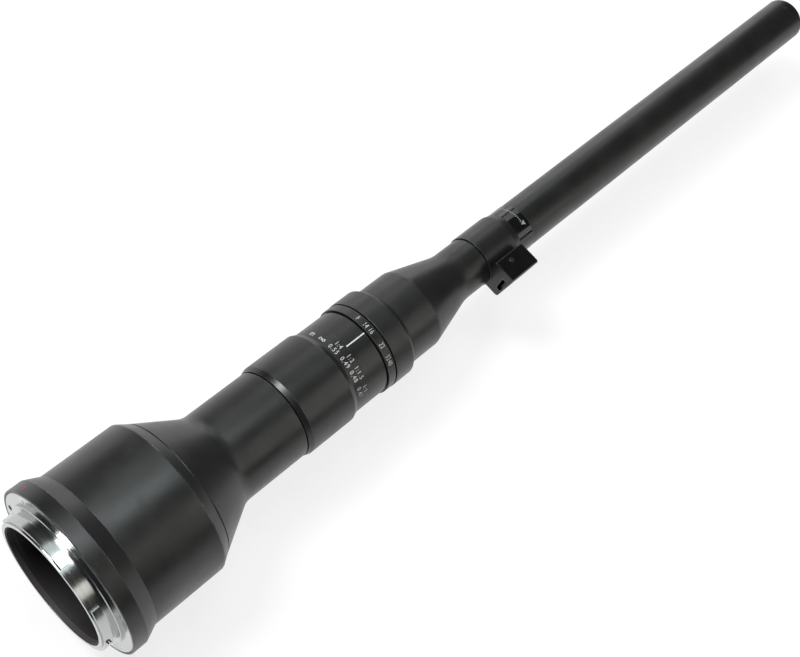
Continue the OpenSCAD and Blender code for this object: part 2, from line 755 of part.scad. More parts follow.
// Carriage that carries the focusing lenses along the barrel
module focus_carriage() {
    bore_r = carriage_r - carriage_wall;
    z1 = carriage_z + carriage_len;
    color([0.3, 0.3, 0.31]) on_lens() difference() {
        turned([[bore_r, carriage_z], [carriage_r, carriage_z, edge_r], [carriage_r, z1, edge_r],
            [bore_r - cell_lip, z1], [bore_r - cell_lip, z1 - cell_lip], [bore_r, z1 - cell_lip]]);
        for (i = [0:follower_count - 1])
            spoke(follower_r / 2 + seat_gap, carriage_r - follower_root, carriage_r + cut, follower_z,
                i * 360 / follower_count);
    }
}

// Followers: a screwed root in the carriage and a roller in the guide slot and the cam slot
module cam_followers() {
    color("gold") on_lens() for (i = [0:follower_count - 1]) {
        a = i * 360 / follower_count;
        spoke(follower_r / 2, carriage_r - follower_root + seat_gap, barrel_r, follower_z, a);
        spoke(follower_r, carriage_r + run_gap, cam_outer_r - run_gap, follower_z, a);
    }
}

// Two focusing lenses
module focus_lenses() {
    r = carriage_r - carriage_wall - seat_gap;
    start = carriage_z + retainer_t;
    span = carriage_len - retainer_t - cell_lip;
    rim_t = focus_rim_share * span;
    bulge = focus_bulge_share * span;
    color([0.6, 0.75, 0.8, 0.5]) on_lens() {
        lens(r, start + bulge + lens_gap, rim_t, bulge, bulge);
        lens(r, start + focus_place_share * span, rim_t, -bulge / 2, -bulge);
    }
}

// Threaded ring that holds the focusing lenses
module focus_retainer() {
    r = carriage_r - carriage_wall - seat_gap;
    color([0.1, 0.1, 0.11]) on_lens() tube(r, r - retainer_w, carriage_z, carriage_z + retainer_t);
}

// Fixed ring with the index line
module index_ring() {
    inner_r = barrel_r + seat_gap;
    color([0.17, 0.17, 0.18]) on_lens() turned([[inner_r, index_z], [scale_r, index_z, edge_r / 2],
        [scale_r, index_end_z, edge_r / 2], [inner_r, index_end_z]]);
}

// Aperture ring with its row of numbers
module aperture_ring() {
    color([0.17, 0.17, 0.18]) on_lens() difference() {
        turned([[barrel_r + run_gap, aperture_z], [aperture_r, aperture_z, edge_r / 2],
            [aperture_r, aperture_end_z, edge_r / 2], [barrel_r + run_gap, aperture_end_z]]);
        spoke(aperture_pin_r + seat_gap, barrel_r - cut, barrel_r + aperture_pin_reach + seat_gap,
            drive_z + drive_t / 2, aperture_pin_angle);
    }
}

// Pin that joins the aperture ring to the iris drive ring through the barrel
module aperture_key() {
    color("silver") on_lens() spoke(aperture_pin_r, drive_ring_r - aperture_pin_root + seat_gap,
        barrel_r + aperture_pin_reach, drive_z + drive_t / 2, aperture_pin_angle);
}

// Base plate of the iris with one pivot hole for each blade
module iris_base() {
    color([0.25, 0.25, 0.26]) on_lens() difference() {
        tube(iris_r, iris_open_r, iris_base_z, iris_base_z + iris_base_t);
        for (i = [0:blade_count - 1]) rotate([0, 0, i * 360 / blade_count])
            translate([pivot_circle_r, 0, iris_base_z - cut])
                cylinder(r = blade_pin_r + blade_pin_gap, h = iris_base_t + 2 * cut, $fn = small_fn);
    }
}

// Drive pin of a blade whose pivot is at angle zero, when the blade has swung in by b degrees
function drive_pin_at(b) = let (a = b - lever_start_angle)
    [pivot_circle_r + blade_lever * sin(a), -blade_lever * cos(a)];

// The same pin seen from the drive ring, which turns back while the blade swings in
function cam_point(b) = let (p = drive_pin_at(b), t = b / blade_ratio)
    [p.x * cos(t) - p.y * sin(t), p.x * sin(t) + p.y * cos(t)];
function cam_side(b, s) =
    let (p = cam_point(b), q = cam_point(b + blade_angle_step) - cam_point(b - blade_angle_step),
        w = blade_pin_r + blade_pin_gap)
    p + s * w * [-q.y, q.x] / norm(q);

// Slot of the drive ring: both sides of the path that the drive pin takes
module iris_slot() {
    n = iris_slot_steps;
    polygon(concat([for (i = [0:n]) cam_side(blade_swing * i / n, 1)],
        [for (i = [n:-1:0]) cam_side(blade_swing * i / n, -1)]));
    for (b = [0, blade_swing]) translate(cam_point(b))
        circle(r = blade_pin_r + blade_pin_gap, $fn = small_fn);
}

// Drive ring of the iris, set back from wide open by the turn the aperture ring stands at
module iris_drive_ring() {
    color([0.62, 0.55, 0.3]) on_lens() difference() {
        tube(drive_ring_r, drive_inner_r, drive_z, drive_z + drive_t);
        translate([0, 0, drive_z - cut]) linear_extrude(drive_t + 2 * cut)
            for (i = [0:blade_count - 1])
                rotate([0, 0, i * 360 / blade_count - aperture_turn_open]) iris_slot();
        spoke(aperture_pin_r + seat_gap, drive_ring_r - aperture_pin_root, drive_ring_r + cut,
            drive_z + drive_t / 2, aperture_pin_angle);
    }
}

// Outline of a band between two radii and from angle zero to a, with round ends
function band_outline(r0, r1, a, n = 24, m = 6) =
    let (mid_r = (r0 + r1) / 2, end_r = (r1 - r0) / 2)
    concat(
        [for (i = [0:n]) around(r0, a * i / n)],
        [for (i = [1:m - 1]) around(mid_r, a) + around(end_r, a + 180 - 180 * i / m)],
        [for (i = [n:-1:0]) around(r1, a * i / n)],
        [for (i = [1:m - 1]) around(mid_r, 0) + around(end_r, -180 * i / m)]
    );

// Outline of a blade with its pivot at angle zero: band, pivot lobe and lever
module blade_outline() {
    mid_r = blade_edge_r + blade_w / 2;
    polygon(band_outline(blade_edge_r, blade_edge_r + blade_w, blade_arc));
    translate([mid_r, -blade_lobe_r]) square([pivot_circle_r - mid_r, 2 * blade_lobe_r]);
    translate([pivot_circle_r, 0]) {
        circle(r = blade_lobe_r, $fn = small_fn);
        rotate([0, 0, -90 - lever_start_angle]) translate([0, -blade_lobe_r])
            square([blade_lever, 2 * blade_lobe_r]);
    }
    translate(drive_pin_at(0)) circle(r = blade_lobe_r, $fn = small_fn);
}

// One blade on its own level of the stack, with a pivot pin below and a drive pin above
module iris_blade(i) {
    level_z = iris_base_z + iris_base_t + blade_space + i * (blade_t + blade_space);
    mid_z = level_z + blade_t / 2;
    pivot_z = iris_base_z + seat_gap;
    pin = drive_pin_at(0);
    color([0.35, 0.36, 0.38]) on_lens() rotate([0, 0, i * 360 / blade_count])
        translate([pivot_circle_r, 0, 0]) rotate([0, 0, blade_rest]) translate([-pivot_circle_r, 0, 0]) {
            translate([0, 0, level_z]) linear_extrude(blade_t) blade_outline();
            translate([pivot_circle_r, 0, pivot_z])
                cylinder(r = blade_pin_r, h = mid_z - pivot_z, $fn = small_fn);
            translate([pin.x, pin.y, mid_z])
                cylinder(r = blade_pin_r, h = drive_z + drive_t - seat_gap - mid_z, $fn = small_fn);
        }
}

// Ring that keeps the iris in the barrel
module iris_retainer() {
    z = drive_z + drive_t + run_gap;
    color([0.1, 0.1, 0.11]) on_lens() tube(iris_r, drive_inner_r, z, z + iris_retainer_t);
}

// Collar in front of the aperture ring
module front_collar() {
    inner_r = barrel_r + seat_gap;
    lip_r = front_r + seat_gap;
    lip_z = front_z + collar_lip_t;
    color([0.17, 0.17, 0.18]) on_lens() turned([[inner_r, front_z], [front_collar_r, front_z, edge_r / 2],
        [front_collar_r, front_slope_z, edge_r], [lip_r + edge_r / 2, front_barrel_z],
        [lip_r, front_barrel_z], [lip_r, lip_z], [inner_r, lip_z]]);
}

// Front barrel: straight part, cone and neck in one turned shell, with a spigot for the probe tube
module taper_barrel() {
    back_z = front_z + collar_lip_t + seat_gap;
    inner_r = front_r - taper_wall;
    color([0.16, 0.16, 0.17]) on_lens() turned([[barrel_r + seat_gap, back_z], [front_r, back_z],
        [front_r, front_cone_z, taper_fillet_r], [neck_r, neck_z, neck_fillet_r],
        [neck_r, neck_end_z, edge_r / 2], [spigot_r, neck_end_z], [spigot_r, neck_end_z + spigot_len],
        [taper_bore_r, neck_end_z + spigot_len], [taper_bore_r, relay_start_z],
        [inner_r, front_cone_z], [inner_r, barrel_end_z + seat_gap],
        [barrel_r + seat_gap, barrel_end_z + seat_gap]]);
}

// Cemented lenses in front of the iris
module stop_lenses() {
    z = drive_z + drive_t + run_gap + iris_retainer_t;
    r = barrel_bore_r - seat_gap;
    t = stop_rim_share * (barrel_end_z - z);
    color([0.6, 0.75, 0.8, 0.5]) on_lens() {
        lens(r, z + lens_gap, t, -t / 2, t);
        lens(r, z + stop_place_share * t, stop_second_share * t, t / 2, t / 2);
    }
}

// Inner tube that holds the relay lenses from the front barrel to the nose
module relay_tube() {
    color([0.1, 0.1, 0.11]) on_lens()
        tube(relay_r, relay_bore_r, relay_start_z, objective_z - seat_gap);
}

// Relay lenses, spread evenly along the inner tube
module relay_lenses() {
    color([0.6, 0.75, 0.8, 0.5]) on_lens() for (i = [0:relay_count])
        lens(relay_glass_r, relay_start_z + i * relay_pitch + relay_bulge, relay_glass_t - 2 * relay_bulge,
            relay_bulge, relay_bulge);
}

// Spacers between the relay lenses, each resting on the rims of two lenses
module relay_spacers() {
    off = relay_bulge - seat_rise(relay_glass_r, relay_spacer_wall, relay_bulge) - lens_gap;
    color([0.1, 0.1, 0.11]) on_lens() for (i = [0:relay_count - 1])
        let (
            z0 = relay_start_z + i * relay_pitch + relay_glass_t - off,
            z1 = relay_start_z + (i + 1) * relay_pitch + off
        )
            tube(relay_glass_r, relay_glass_r - relay_spacer_wall, z0, z1);
}

// Window for the lamp ribbon through everything between two radii
module ribbon_window(r_from, r_to) {
    ring_part(r_to, r_from, button_z, button_z + 2 * ribbon_t + box_screw_head_r,
        ribbon_angle - ribbon_arc, ribbon_angle + ribbon_arc);
}

// Sleeve behind the marking band, which carries the lamp box
module lamp_sleeve() {
    inner_r = tube_seat_r + seat_gap;
    color([0.17, 0.17, 0.18]) on_lens() difference() {
        turned([[inner_r, sleeve_z], [sleeve_r, sleeve_z, edge_r / 2],
            [sleeve_r, sleeve_taper_z, sleeve_fillet_r], [band_r, band_z], [inner_r, band_z]]);
        ribbon_window(tube_bore_r - cut, sleeve_r + cut);
        box_screw_holes();
    }
}

// Glossy band that carries the mark lines
module marking_band() {
    inner_r = tube_seat_r + seat_gap;
    start_z = band_z + seat_gap;
    color([0.03, 0.03, 0.04]) on_lens() turned([[inner_r, start_z], [band_r, start_z],
        [band_r, band_end_z, seat_gap], [inner_r, band_end_z]]);
}

// Probe tube from the neck's spigot to the nose ring, turned down under the lamp sleeve
module probe_tube() {
    seat_end_z = band_end_z + seat_gap;
    color([0.17, 0.17, 0.18]) on_lens() difference() {
        turned([[tube_bore_r, sleeve_z], [tube_seat_r, sleeve_z], [tube_seat_r, seat_end_z],
            [tube_r, seat_end_z], [tube_r, nose_z - seat_gap], [tube_bore_r, nose_z - seat_gap]]);
        ribbon_window(tube_bore_r - cut, sleeve_r + cut);
        box_screw_holes();
    }
}

// Cell of the first lenses, which closes the inner tube
module objective_cell() {
    inner_r = front_lens_r + seat_gap;
    bore_r = relay_glass_r - relay_spacer_wall;
    rim_z = tip_z - nose_recess - seat_gap;
    ledge_z = rim_z - front_lens_t - seat_gap;
    end_z = lamp_board_z - seat_gap;
    throat_z = lamp_board_z - cell_wall - cell_lip;
    color([0.1, 0.1, 0.11]) on_lens() turned([[bore_r, objective_z], [relay_r, objective_z],
        [relay_r, end_z], [bezel_r, end_z], [bezel_r, rim_z], [inner_r, rim_z], [inner_r, ledge_z],
        [inner_r - cell_lip, ledge_z], [inner_r - cell_lip, throat_z],
        [bore_r, throat_z - cell_wall - cell_lip]]);
}

// Lenses behind the front lens
module objective_lenses() {
    r = relay_glass_r - relay_spacer_wall - seat_gap;
    step = objective_len / (objective_count + 2);
    bulge = objective_bulge_share * step;
    color([0.6, 0.75, 0.8, 0.5]) on_lens() for (i = [0:objective_count - 1])
        lens(r, objective_z + (i + objective_gap_share) * step, objective_rim_share * step, bulge, bulge);
}

// Front lens, flush in its bezel
module front_lens() {
    z = tip_z - nose_recess - front_lens_t - seat_gap;
    dish = front_dish_share * front_lens_t;
    color([0.6, 0.75, 0.8, 0.5]) on_lens() lens(front_lens_r, z, front_lens_t - dish, -dish, dish);
}

// Nose ring: screws into the tube and rounds off the tip
module nose_ring() {
    window_r = relay_r + nose_wall / 2;
    spigot_z = nose_z - cell_wall;
    color([0.17, 0.17, 0.18]) on_lens() turned([[nose_spigot_r, spigot_z], [spigot_r, spigot_z],
        [spigot_r, nose_z], [tube_r, nose_z], [tube_r, tip_z, tip_edge_r], [window_r, tip_z],
        [window_r, window_z], [nose_spigot_r, window_z]]);
}

// Seal ring behind the nose ring
module nose_seal() {
    seal_r = (tube_bore_r - nose_spigot_r) / 2;
    color([0.05, 0.05, 0.05]) on_lens() rotate_extrude($fn = turn_fn)
        translate([(nose_spigot_r + tube_bore_r) / 2, nose_z - cell_wall - seal_r - seat_gap])
            circle(r = seal_r - seat_gap, $fn = small_fn);
}

// Ring board of the lamps
module lamp_board() {
    color([0.1, 0.35, 0.2]) on_lens()
        tube(relay_r - seat_gap, bezel_r + seat_gap, lamp_board_z, lamp_board_z + board_t);
}

// Lamps on the ring board
module lamps() {
    color([0.95, 0.9, 0.6]) on_lens() for (i = [0:lamp_count - 1]) rotate([0, 0, i * 360 / lamp_count])
        translate([(bezel_r + relay_r - lamp_size) / 2, -lamp_size / 2, lamp_z])
            cube([lamp_size, lamp_size, lamp_h]);
}

// Clear ring over the lamps
module lamp_window() {
    color([0.85, 0.88, 0.9, 0.5]) on_lens()
        tube(relay_r + nose_wall / 2 - seat_gap, bezel_r + seat_gap, window_z, window_z + window_t);
}

// Flat ribbon between the two tubes, from the lamp box to the ring board
module lamp_ribbon() {
    mid_z = button_z + ribbon_t + box_screw_head_r / 2;
    inner_r = relay_r + seat_gap;
    color([0.7, 0.45, 0.1]) on_lens() {
        ring_part(inner_r + ribbon_t, inner_r, mid_z - ribbon_t, lamp_z - seat_gap,
            ribbon_angle - ribbon_arc / 2, ribbon_angle + ribbon_arc / 2);
        ring_part(board_y - seat_gap, inner_r, mid_z - ribbon_t, mid_z + ribbon_t,
            ribbon_angle - ribbon_arc / 3, ribbon_angle + ribbon_arc / 3);
    }
}

// Holes for the screws that hold the lamp box on the sleeve
module box_screw_holes() {
    for (s = box_screw_shares) translate([0, spigot_r + seat_gap, box_z + s * box_len]) rotate([-90, 0, 0])
        cylinder(r = box_screw_r + seat_gap, h = sleeve_r + floor_t - spigot_r + cut, $fn = small_fn);
}

// Lamp box: a shell on the side of the sleeve with a hollow under its cover
module lamp_box() {
    color([0.17, 0.17, 0.18]) on_lens() difference() {
        translate([0, 0, box_z]) linear_extrude(box_len)
            polygon(box_outline(-box_bottom, box_top, box_near, box_reach, box_edge_r));
        translate([0, 0, box_z - cut])
            cylinder(r = sleeve_r + seat_gap, h = box_len + 2 * cut, $fn = turn_fn);
        difference() {
            translate([box_wall - box_bottom, box_near + box_wall, box_z + box_wall])
                cube([box_bottom + box_top - box_wall - cover_t, box_reach - box_near - 2 * box_wall,
                    box_len - 2 * box_wall]);
            translate([0, 0, box_z]) cylinder(r = sleeve_r + floor_t, h = box_len, $fn = turn_fn);
        }
        translate([box_top - cover_t - seat_gap, box_near + cover_frame, box_z + cover_frame])
            cube([cover_t + cut, box_reach - box_near - 2 * cover_frame, box_len - 2 * cover_frame]);
        translate([socket_x, socket_y, box_z - cut]) linear_extrude(box_wall + 2 * cut)
            socket_outline(socket_wall + seat_gap);
        ribbon_window(sleeve_r, sleeve_r + 2 * floor_t);
        box_screw_holes();
    }
}

// Glossy cover plate let into the top of the lamp box
module lamp_box_cover() {
    frame = cover_frame + seat_gap;
    color([0.03, 0.03, 0.04]) on_lens() difference() {
        translate([box_top - cover_t, box_near + frame, box_z + frame])
            cube([cover_t, box_reach - box_near - 2 * frame, box_len - 2 * frame]);
        translate([box_top - cover_t - cut, button_y, button_z]) rotate([0, 90, 0])
            cylinder(r = button_r + run_gap, h = cover_t + 2 * cut, $fn = small_fn);
    }
}

// Outline of the socket's mouth: straight sides and slanted lower corners, grown by a gap
module socket_outline(grow) {
    w = socket_w / 2 + grow;
    h = socket_h / 2 + grow;
    polygon([[-w, h], [w, h], [w, socket_edge - h], [w - socket_edge, -h], [socket_edge - w, -h],
        [-w, socket_edge - h]]);
}

// Metal shell of the supply socket
module supply_socket() {
    color("silver") on_lens() translate([socket_x, socket_y, box_z + seat_gap]) difference() {
        linear_extrude(socket_depth) socket_outline(socket_wall);
        translate([0, 0, -cut]) linear_extrude(socket_depth + cut - socket_wall) socket_outline(0);
    }
}

// Tongue with the contacts inside the socket
module socket_tongue() {
    z0 = box_z + 2 * tongue_gap;
    color([0.05, 0.05, 0.05]) on_lens()
        translate([socket_x - socket_w / 2 + 2 * tongue_gap, socket_y + tongue_gap / 2, z0])
            cube([socket_w - 4 * tongue_gap, tongue_t, box_z + socket_depth - socket_wall - z0]);
}

// Circuit board of the lamp box, under the socket
module supply_board() {
    x0 = box_wall - box_bottom + seat_gap;
    color([0.1, 0.35, 0.2]) on_lens() translate([x0, board_y, box_z + box_wall + seat_gap])
        cube([switch_top - x0, supply_board_t, box_len - 2 * box_wall - 2 * seat_gap]);
}

// Lamp switch under the button
module lamp_switch() {
    color("silver") on_lens()
        translate([switch_top - switch_h, board_y - switch_size - seat_gap, button_z - switch_size / 2])
            cube([switch_h, switch_size, switch_size]);
}

// Round lamp button, flush with the cover
module lamp_button() {
    color([0.12, 0.12, 0.13]) on_lens() translate([box_top - button_len, button_y, button_z])
        rotate([0, 90, 0]) rotate_extrude($fn = small_fn)
            polygon(rounded([[0, 0], [button_r, 0], [button_r, button_len, button_r / 8],
                [0, button_len]]));
}

// Screws of the lamp box, heads inside the box
module box_screws() {
    floor_y = sleeve_r + floor_t + seat_gap;
    color("silver") on_lens() for (s = box_screw_shares)
        translate([0, spigot_r + 2 * seat_gap, box_z + s * box_len]) rotate([-90, 0, 0]) {
            cylinder(r = box_screw_r, h = floor_y - spigot_r, $fn = small_fn);
            translate([0, 0, floor_y - spigot_r])
                cylinder(r = box_screw_head_r, h = box_screw_head_t, $fn = small_fn);
        }
}

bayonet_mount();
mount_screws();
coupling_pin();
throat_ring();
mount_collar();
rear_housing();
rear_cell();
rear_lenses();
rear_retainer();
main_barrel();
focus_ring();
focus_cam_sleeve();
focus_key();
focus_carriage();
cam_followers();
focus_lenses();
focus_retainer();
index_ring();
aperture_ring();
aperture_key();
iris_base();
iris_drive_ring();
iris_blade(0);  // iris_blade_1
iris_blade(1);  // iris_blade_2
iris_blade(2);  // iris_blade_3
iris_blade(3);  // iris_blade_4
iris_blade(4);  // iris_blade_5
iris_blade(5);  // iris_blade_6
iris_blade(6);  // iris_blade_7
iris_retainer();
front_collar();
taper_barrel();
stop_lenses();
relay_tube();
relay_lenses();
relay_spacers();
lamp_sleeve();
marking_band();
probe_tube();
objective_cell();
objective_lenses();
front_lens();
nose_ring();
nose_seal();
lamp_board();
lamps();
lamp_window();
lamp_ribbon();
lamp_box();
lamp_box_cover();
supply_socket();
socket_tongue();
supply_board();
lamp_switch();
lamp_button();
box_screws();
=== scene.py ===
"""Looks of a probe macro lens, built round its packed construction model.

Every length is in metres. The optical axis is X, from the mount's seating face toward the tip, and
the white index line points up along Z. Angles round the barrel are in degrees, counted from the
index line toward the side that carries the lamp box.
"""

import logging
import math
from collections.abc import Iterable
from dataclasses import dataclass, field
from enum import Enum

import bpy
import numpy as np
from mathutils import Matrix, Vector


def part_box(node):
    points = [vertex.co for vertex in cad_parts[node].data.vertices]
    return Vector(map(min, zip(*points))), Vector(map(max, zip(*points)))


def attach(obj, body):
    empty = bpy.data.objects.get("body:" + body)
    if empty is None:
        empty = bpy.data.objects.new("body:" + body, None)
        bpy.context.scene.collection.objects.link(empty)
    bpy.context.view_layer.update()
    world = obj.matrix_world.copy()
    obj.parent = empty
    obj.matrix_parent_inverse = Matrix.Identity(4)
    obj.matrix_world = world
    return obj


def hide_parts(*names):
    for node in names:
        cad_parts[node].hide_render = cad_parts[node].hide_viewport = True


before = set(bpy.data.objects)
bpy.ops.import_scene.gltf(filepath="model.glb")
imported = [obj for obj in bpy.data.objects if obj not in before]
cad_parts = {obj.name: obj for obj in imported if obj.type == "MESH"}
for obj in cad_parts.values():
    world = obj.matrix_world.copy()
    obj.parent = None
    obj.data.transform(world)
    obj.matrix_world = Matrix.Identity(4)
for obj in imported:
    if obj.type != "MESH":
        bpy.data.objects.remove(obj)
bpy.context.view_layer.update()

LOG = logging.getLogger("probe_lens")
MM = 0.001

# Turned pieces: steps round the axis, widest step along a rounded corner, and least angle of a sharp edge
TURN_STEPS = 192
ARC_STEP = math.radians(6)
SHARP_ANGLE = math.radians(28)

# Edge break of a corner that has no radius of its own, and how far the wear and the painted edge highlight
# reach from a corner
EDGE_BREAK = 0.06 * MM
WEAR_AND_HIGHLIGHT_REACH = 0.45 * MM

# Shares of the shorter stretch beside a corner that its rounding, and its wear and painted edge highlight,
# may take
ROUNDING_ROOM = 0.45
WEAR_AND_HIGHLIGHT_ROOM = 0.49

# Half a corner's angle above which it counts as straight, and least turn of a corner that gets wear and a
# painted edge highlight
STRAIGHT = math.radians(89.5)
WEAR_AND_HIGHLIGHT_TURN = math.radians(20)

# Gap that is drawn between a piece and its seat, and widest flat stretch of a painted line in degrees
SEAT_GAP = 0.02 * MM
FLAT_STRETCH = 3

# Range that most of a noise lies in
NOISE_SPAN = (0.3, 0.7)

# A corner is a place along the axis, a radius, and any rounding of its own. A shape is its points and
# its faces. A ramp is the range that goes in, then the range that comes out.
Point2 = tuple[float, float]
Point3 = tuple[float, float, float]
Colour = tuple[float, float, float]
Corner = Point2 | Point3
Shape = tuple[np.ndarray, list[list[int]]]
Ramp = tuple[float, float, float, float]
Socket = bpy.types.NodeSocket

# Lamp colours, and the colour of dust
COOL: Colour = (0.92, 1.02, 1.02)
WARM: Colour = (1.02, 1.0, 0.93)
DUST_COLOUR: Colour = (0.28, 0.27, 0.25)


class Body(Enum):
    """Bodies of the construction model that the pieces ride on."""

    BARREL = "lens_barrel"
    FOCUS = "focus_ring"
    APERTURE = "aperture_ring"


class Slot(Enum):
    """Material slots, each with its finish in FINISHES."""

    CHROME = "mount_chrome"
    SCREW = "screw_steel"
    THROAT = "throat_black"
    SATIN = "satin_black"
    RING = "ring_black"
    INNER_BLACK = "inner_black"
    INNER_METAL = "inner_metal"
    BRASS = "brass"
    BLADE = "blade_steel"
    GLASS = "lens_glass"
    GLOSS = "gloss_black"
    BOX = "box_black"
    SEAL = "seal_rubber"
    BOARD = "board_green"
    LAMP = "lamp_white"
    WINDOW = "window_clear"
    RIBBON = "ribbon_amber"
    SOCKET = "socket_metal"
    TONGUE = "tongue_black"
    BUTTON = "button_black"


@dataclass
class Graph:
    """Adds nodes to a node tree, between the sockets that it is given and the inputs that it leads to."""

    tree: bpy.types.NodeTree
    given: bpy.types.NodeOutputs
    target: bpy.types.NodeInputs

    def feed(self, inputs: Iterable[Socket], values: Iterable[object]) -> None:
        """Links or sets inputs, one after another.

        Args:
            inputs: Inputs to fill.
            values: A socket or a plain value for each input.
        """
        for socket, value in zip(inputs, values):
            if isinstance(value, Socket):
                self.tree.links.new(value, socket)
            else:
                socket.default_value = value

    def fill(self, inputs: bpy.types.NodeInputs, **values: object) -> None:
        """Links or sets inputs by their names, with _ for a space."""
        self.feed((inputs[name.replace("_", " ")] for name in values), values.values())

    def give(self, **values: object) -> None:
        """Links or sets the inputs that the tree leads to, by their names."""
        self.fill(self.target, **values)

    def node(self, kind: str, *values: object, **settings: object) -> bpy.types.Node:
        """Adds a node.

        Args:
            kind: Blender's name of the node type, without its ShaderNode prefix.
            values: Sockets or plain values for its first inputs, in order.
            settings: Properties of the node, or sockets and values for inputs by name.

        Returns:
            The new node.
        """
        made = self.tree.nodes.new("ShaderNode" + kind)
        for name, value in settings.items():
            if hasattr(made, name):
                setattr(made, name, value)
            else:
                self.fill(made.inputs, **{name: value})
        self.feed(made.inputs, values)
        return made

    def math(self, operation: str, *values: object) -> Socket:
        """Adds a math node on sockets or numbers, and gives its output."""
        return self.node("Math", *values, operation=operation).outputs[0]

    def vector(self, operation: str, *values: object) -> Socket:
        """Adds a vector math node on sockets or vectors, and gives its output."""
        return self.node("VectorMath", *values, operation=operation).outputs[0]

    def noise(self, place: Socket, scale: object, detail: float, **settings: object) -> Socket:
        """Adds a noise at a place, and gives its value."""
        return self.node("TexNoise", Vector=place, Scale=scale, Detail=detail, **settings).outputs[0]

    def part(self, vector: Socket, index: int) -> Socket:
        """Gives one part of a vector: 0 for X, 1 for Y, 2 for Z."""
        return self.node("SeparateXYZ", vector).outputs[index]

    def total(self, start: object, *terms: tuple[Socket, float]) -> Socket:
        """Adds terms to a start.

        Args:
            start: Socket or number that the terms are added to.
            terms: Each a socket, and the number that it is multiplied by.

        Returns:
            The sum.
        """
        for socket, share in terms:
            start = self.math("MULTIPLY_ADD", socket, share, start)
        return start

    def blend(self, mask: object, low: object, high: object) -> Socket:
        """Blends two colours by a mask.

        Args:
            mask: Socket or number, 0 for the first colour and 1 for the second.
            low: First colour, as a socket or three numbers.
            high: Second colour, as a socket or three numbers.

        Returns:
            The blended colour.
        """
        made = self.node("Mix", mask, data_type="RGBA")
        colours = (c if isinstance(c, Socket) else (*c, 1.0) for c in (low, high))
        self.feed((s for s in made.inputs if s.type == "RGBA"), colours)
        return next(s for s in made.outputs if s.type == "RGBA")

    def between(
        self, value: Socket, low: float, high: float, to_low: float = 0.0, to_high: float = 1.0
    ) -> Socket:
        """Maps a value from one range to another, smoothly and without passing its ends."""
        made = self.node("MapRange", value, low, high, to_low, to_high, interpolation_type="SMOOTHSTEP")
        return made.outputs[0]

    def spread(self, noise: Socket) -> Socket:
        """Spreads a noise over -1 to 1."""
        return self.between(noise, *NOISE_SPAN, -1.0, 1.0)

    def share(self, tone: Socket) -> Socket:
        """Turns a tone of -1 to 1 into a share of 0 to 1."""
        return self.between(tone, -1.0, 1.0)

    def effect(self, effect: "Effect", **values: object) -> bpy.types.NodeOutputs:
        """Places an effect's group at the place on the piece, and gives its outputs."""
        return self.node("Group", node_tree=effect.group(), Place=self.given["Object"], **values).outputs

    def bump(self, height: Socket, depth: float) -> None:
        """Leads a height of 0 to 1, with its real depth in metres, to the shader's normal."""
        self.give(Normal=self.node("Bump", Strength=1.0, Distance=depth, Height=height).outputs[0])


def open_graph(owner: bpy.types.Material | bpy.types.World, shader: str) -> Graph:
    """Opens the node tree of a material or a world.

    Args:
        owner: The material or world.
        shader: Name of the shader node that the tree leads to.

    Returns:
        Its graph, given the texture coordinates.
    """
    owner.use_nodes = True
    nodes = owner.node_tree.nodes
    return Graph(owner.node_tree, nodes.new("ShaderNodeTexCoord").outputs, nodes[shader].inputs)


class Effect:
    """A shader node group that several finishes use, built once. It takes the place on the piece."""

    name = "effect"
    inputs: dict[str, float] = {}
    outputs: tuple[str, ...] = ()

    def wire(self, graph: Graph) -> None:
        """Fills the group."""
        raise NotImplementedError

    def group(self) -> bpy.types.NodeTree:
        """Makes the group, or finds the one that is made.

        Returns:
            The node group.
        """
        found = bpy.data.node_groups.get(self.name)
        if found:
            return found
        tree = bpy.data.node_groups.new(self.name, "ShaderNodeTree")
        tree.interface.new_socket("Place", in_out="INPUT", socket_type="NodeSocketVector")
        for label, value in self.inputs.items():
            socket = tree.interface.new_socket(label, in_out="INPUT", socket_type="NodeSocketFloat")
            socket.default_value = value
        for label in self.outputs:
            tree.interface.new_socket(label, in_out="OUTPUT", socket_type="NodeSocketFloat")
        given, target = tree.nodes.new("NodeGroupInput"), tree.nodes.new("NodeGroupOutput")
        self.wire(Graph(tree, given.outputs, target.inputs))
        return tree


class BlastedGrain(Effect):
    """Fine grain of a bead blasted surface, with a soft change of tone over it."""

    name = "blasted grain"
    inputs = {"Grain": 5200.0, "Cloud": 75.0}
    outputs = ("Height", "Tone", "Polish")
    shift: Point3 = (0.37, 0.11, 0.23)

    def wire(self, graph: Graph) -> None:
        """Fills the group: grain as height, and two slow clouds as tone and polish.

        Args:
            graph: Graph of the group.
        """
        place, cloud = graph.given["Place"], graph.given["Cloud"]
        shifted = graph.vector("ADD", place, self.shift)
        graph.give(
            Height=graph.noise(place, graph.given["Grain"], 3.0, Roughness=0.62),
            Tone=graph.spread(graph.noise(place, cloud, 5.0, Roughness=0.55)),
            Polish=graph.spread(graph.noise(shifted, cloud, 2.0)),
        )


class TurnedLines(Effect):
    """Fine lines round the axis that a lathe tool leaves."""

    name = "turned lines"
    inputs = {"Lines": 9000.0}
    outputs = ("Height", "Polish")
    fine: float = 1.0
    broad: float = 0.07

    def wire(self, graph: Graph) -> None:
        """Fills the group: noise that changes along the axis alone.

        Args:
            graph: Graph of the group.
        """
        along = graph.math("MULTIPLY", graph.part(graph.given["Place"], 0), graph.given["Lines"])
        fine, broad = (
            graph.node("TexNoise", noise_dimensions="1D", W=along, Scale=scale, Detail=2.0).outputs[0]
            for scale in (self.fine, self.broad)
        )
        graph.give(Height=fine, Polish=graph.spread(broad))


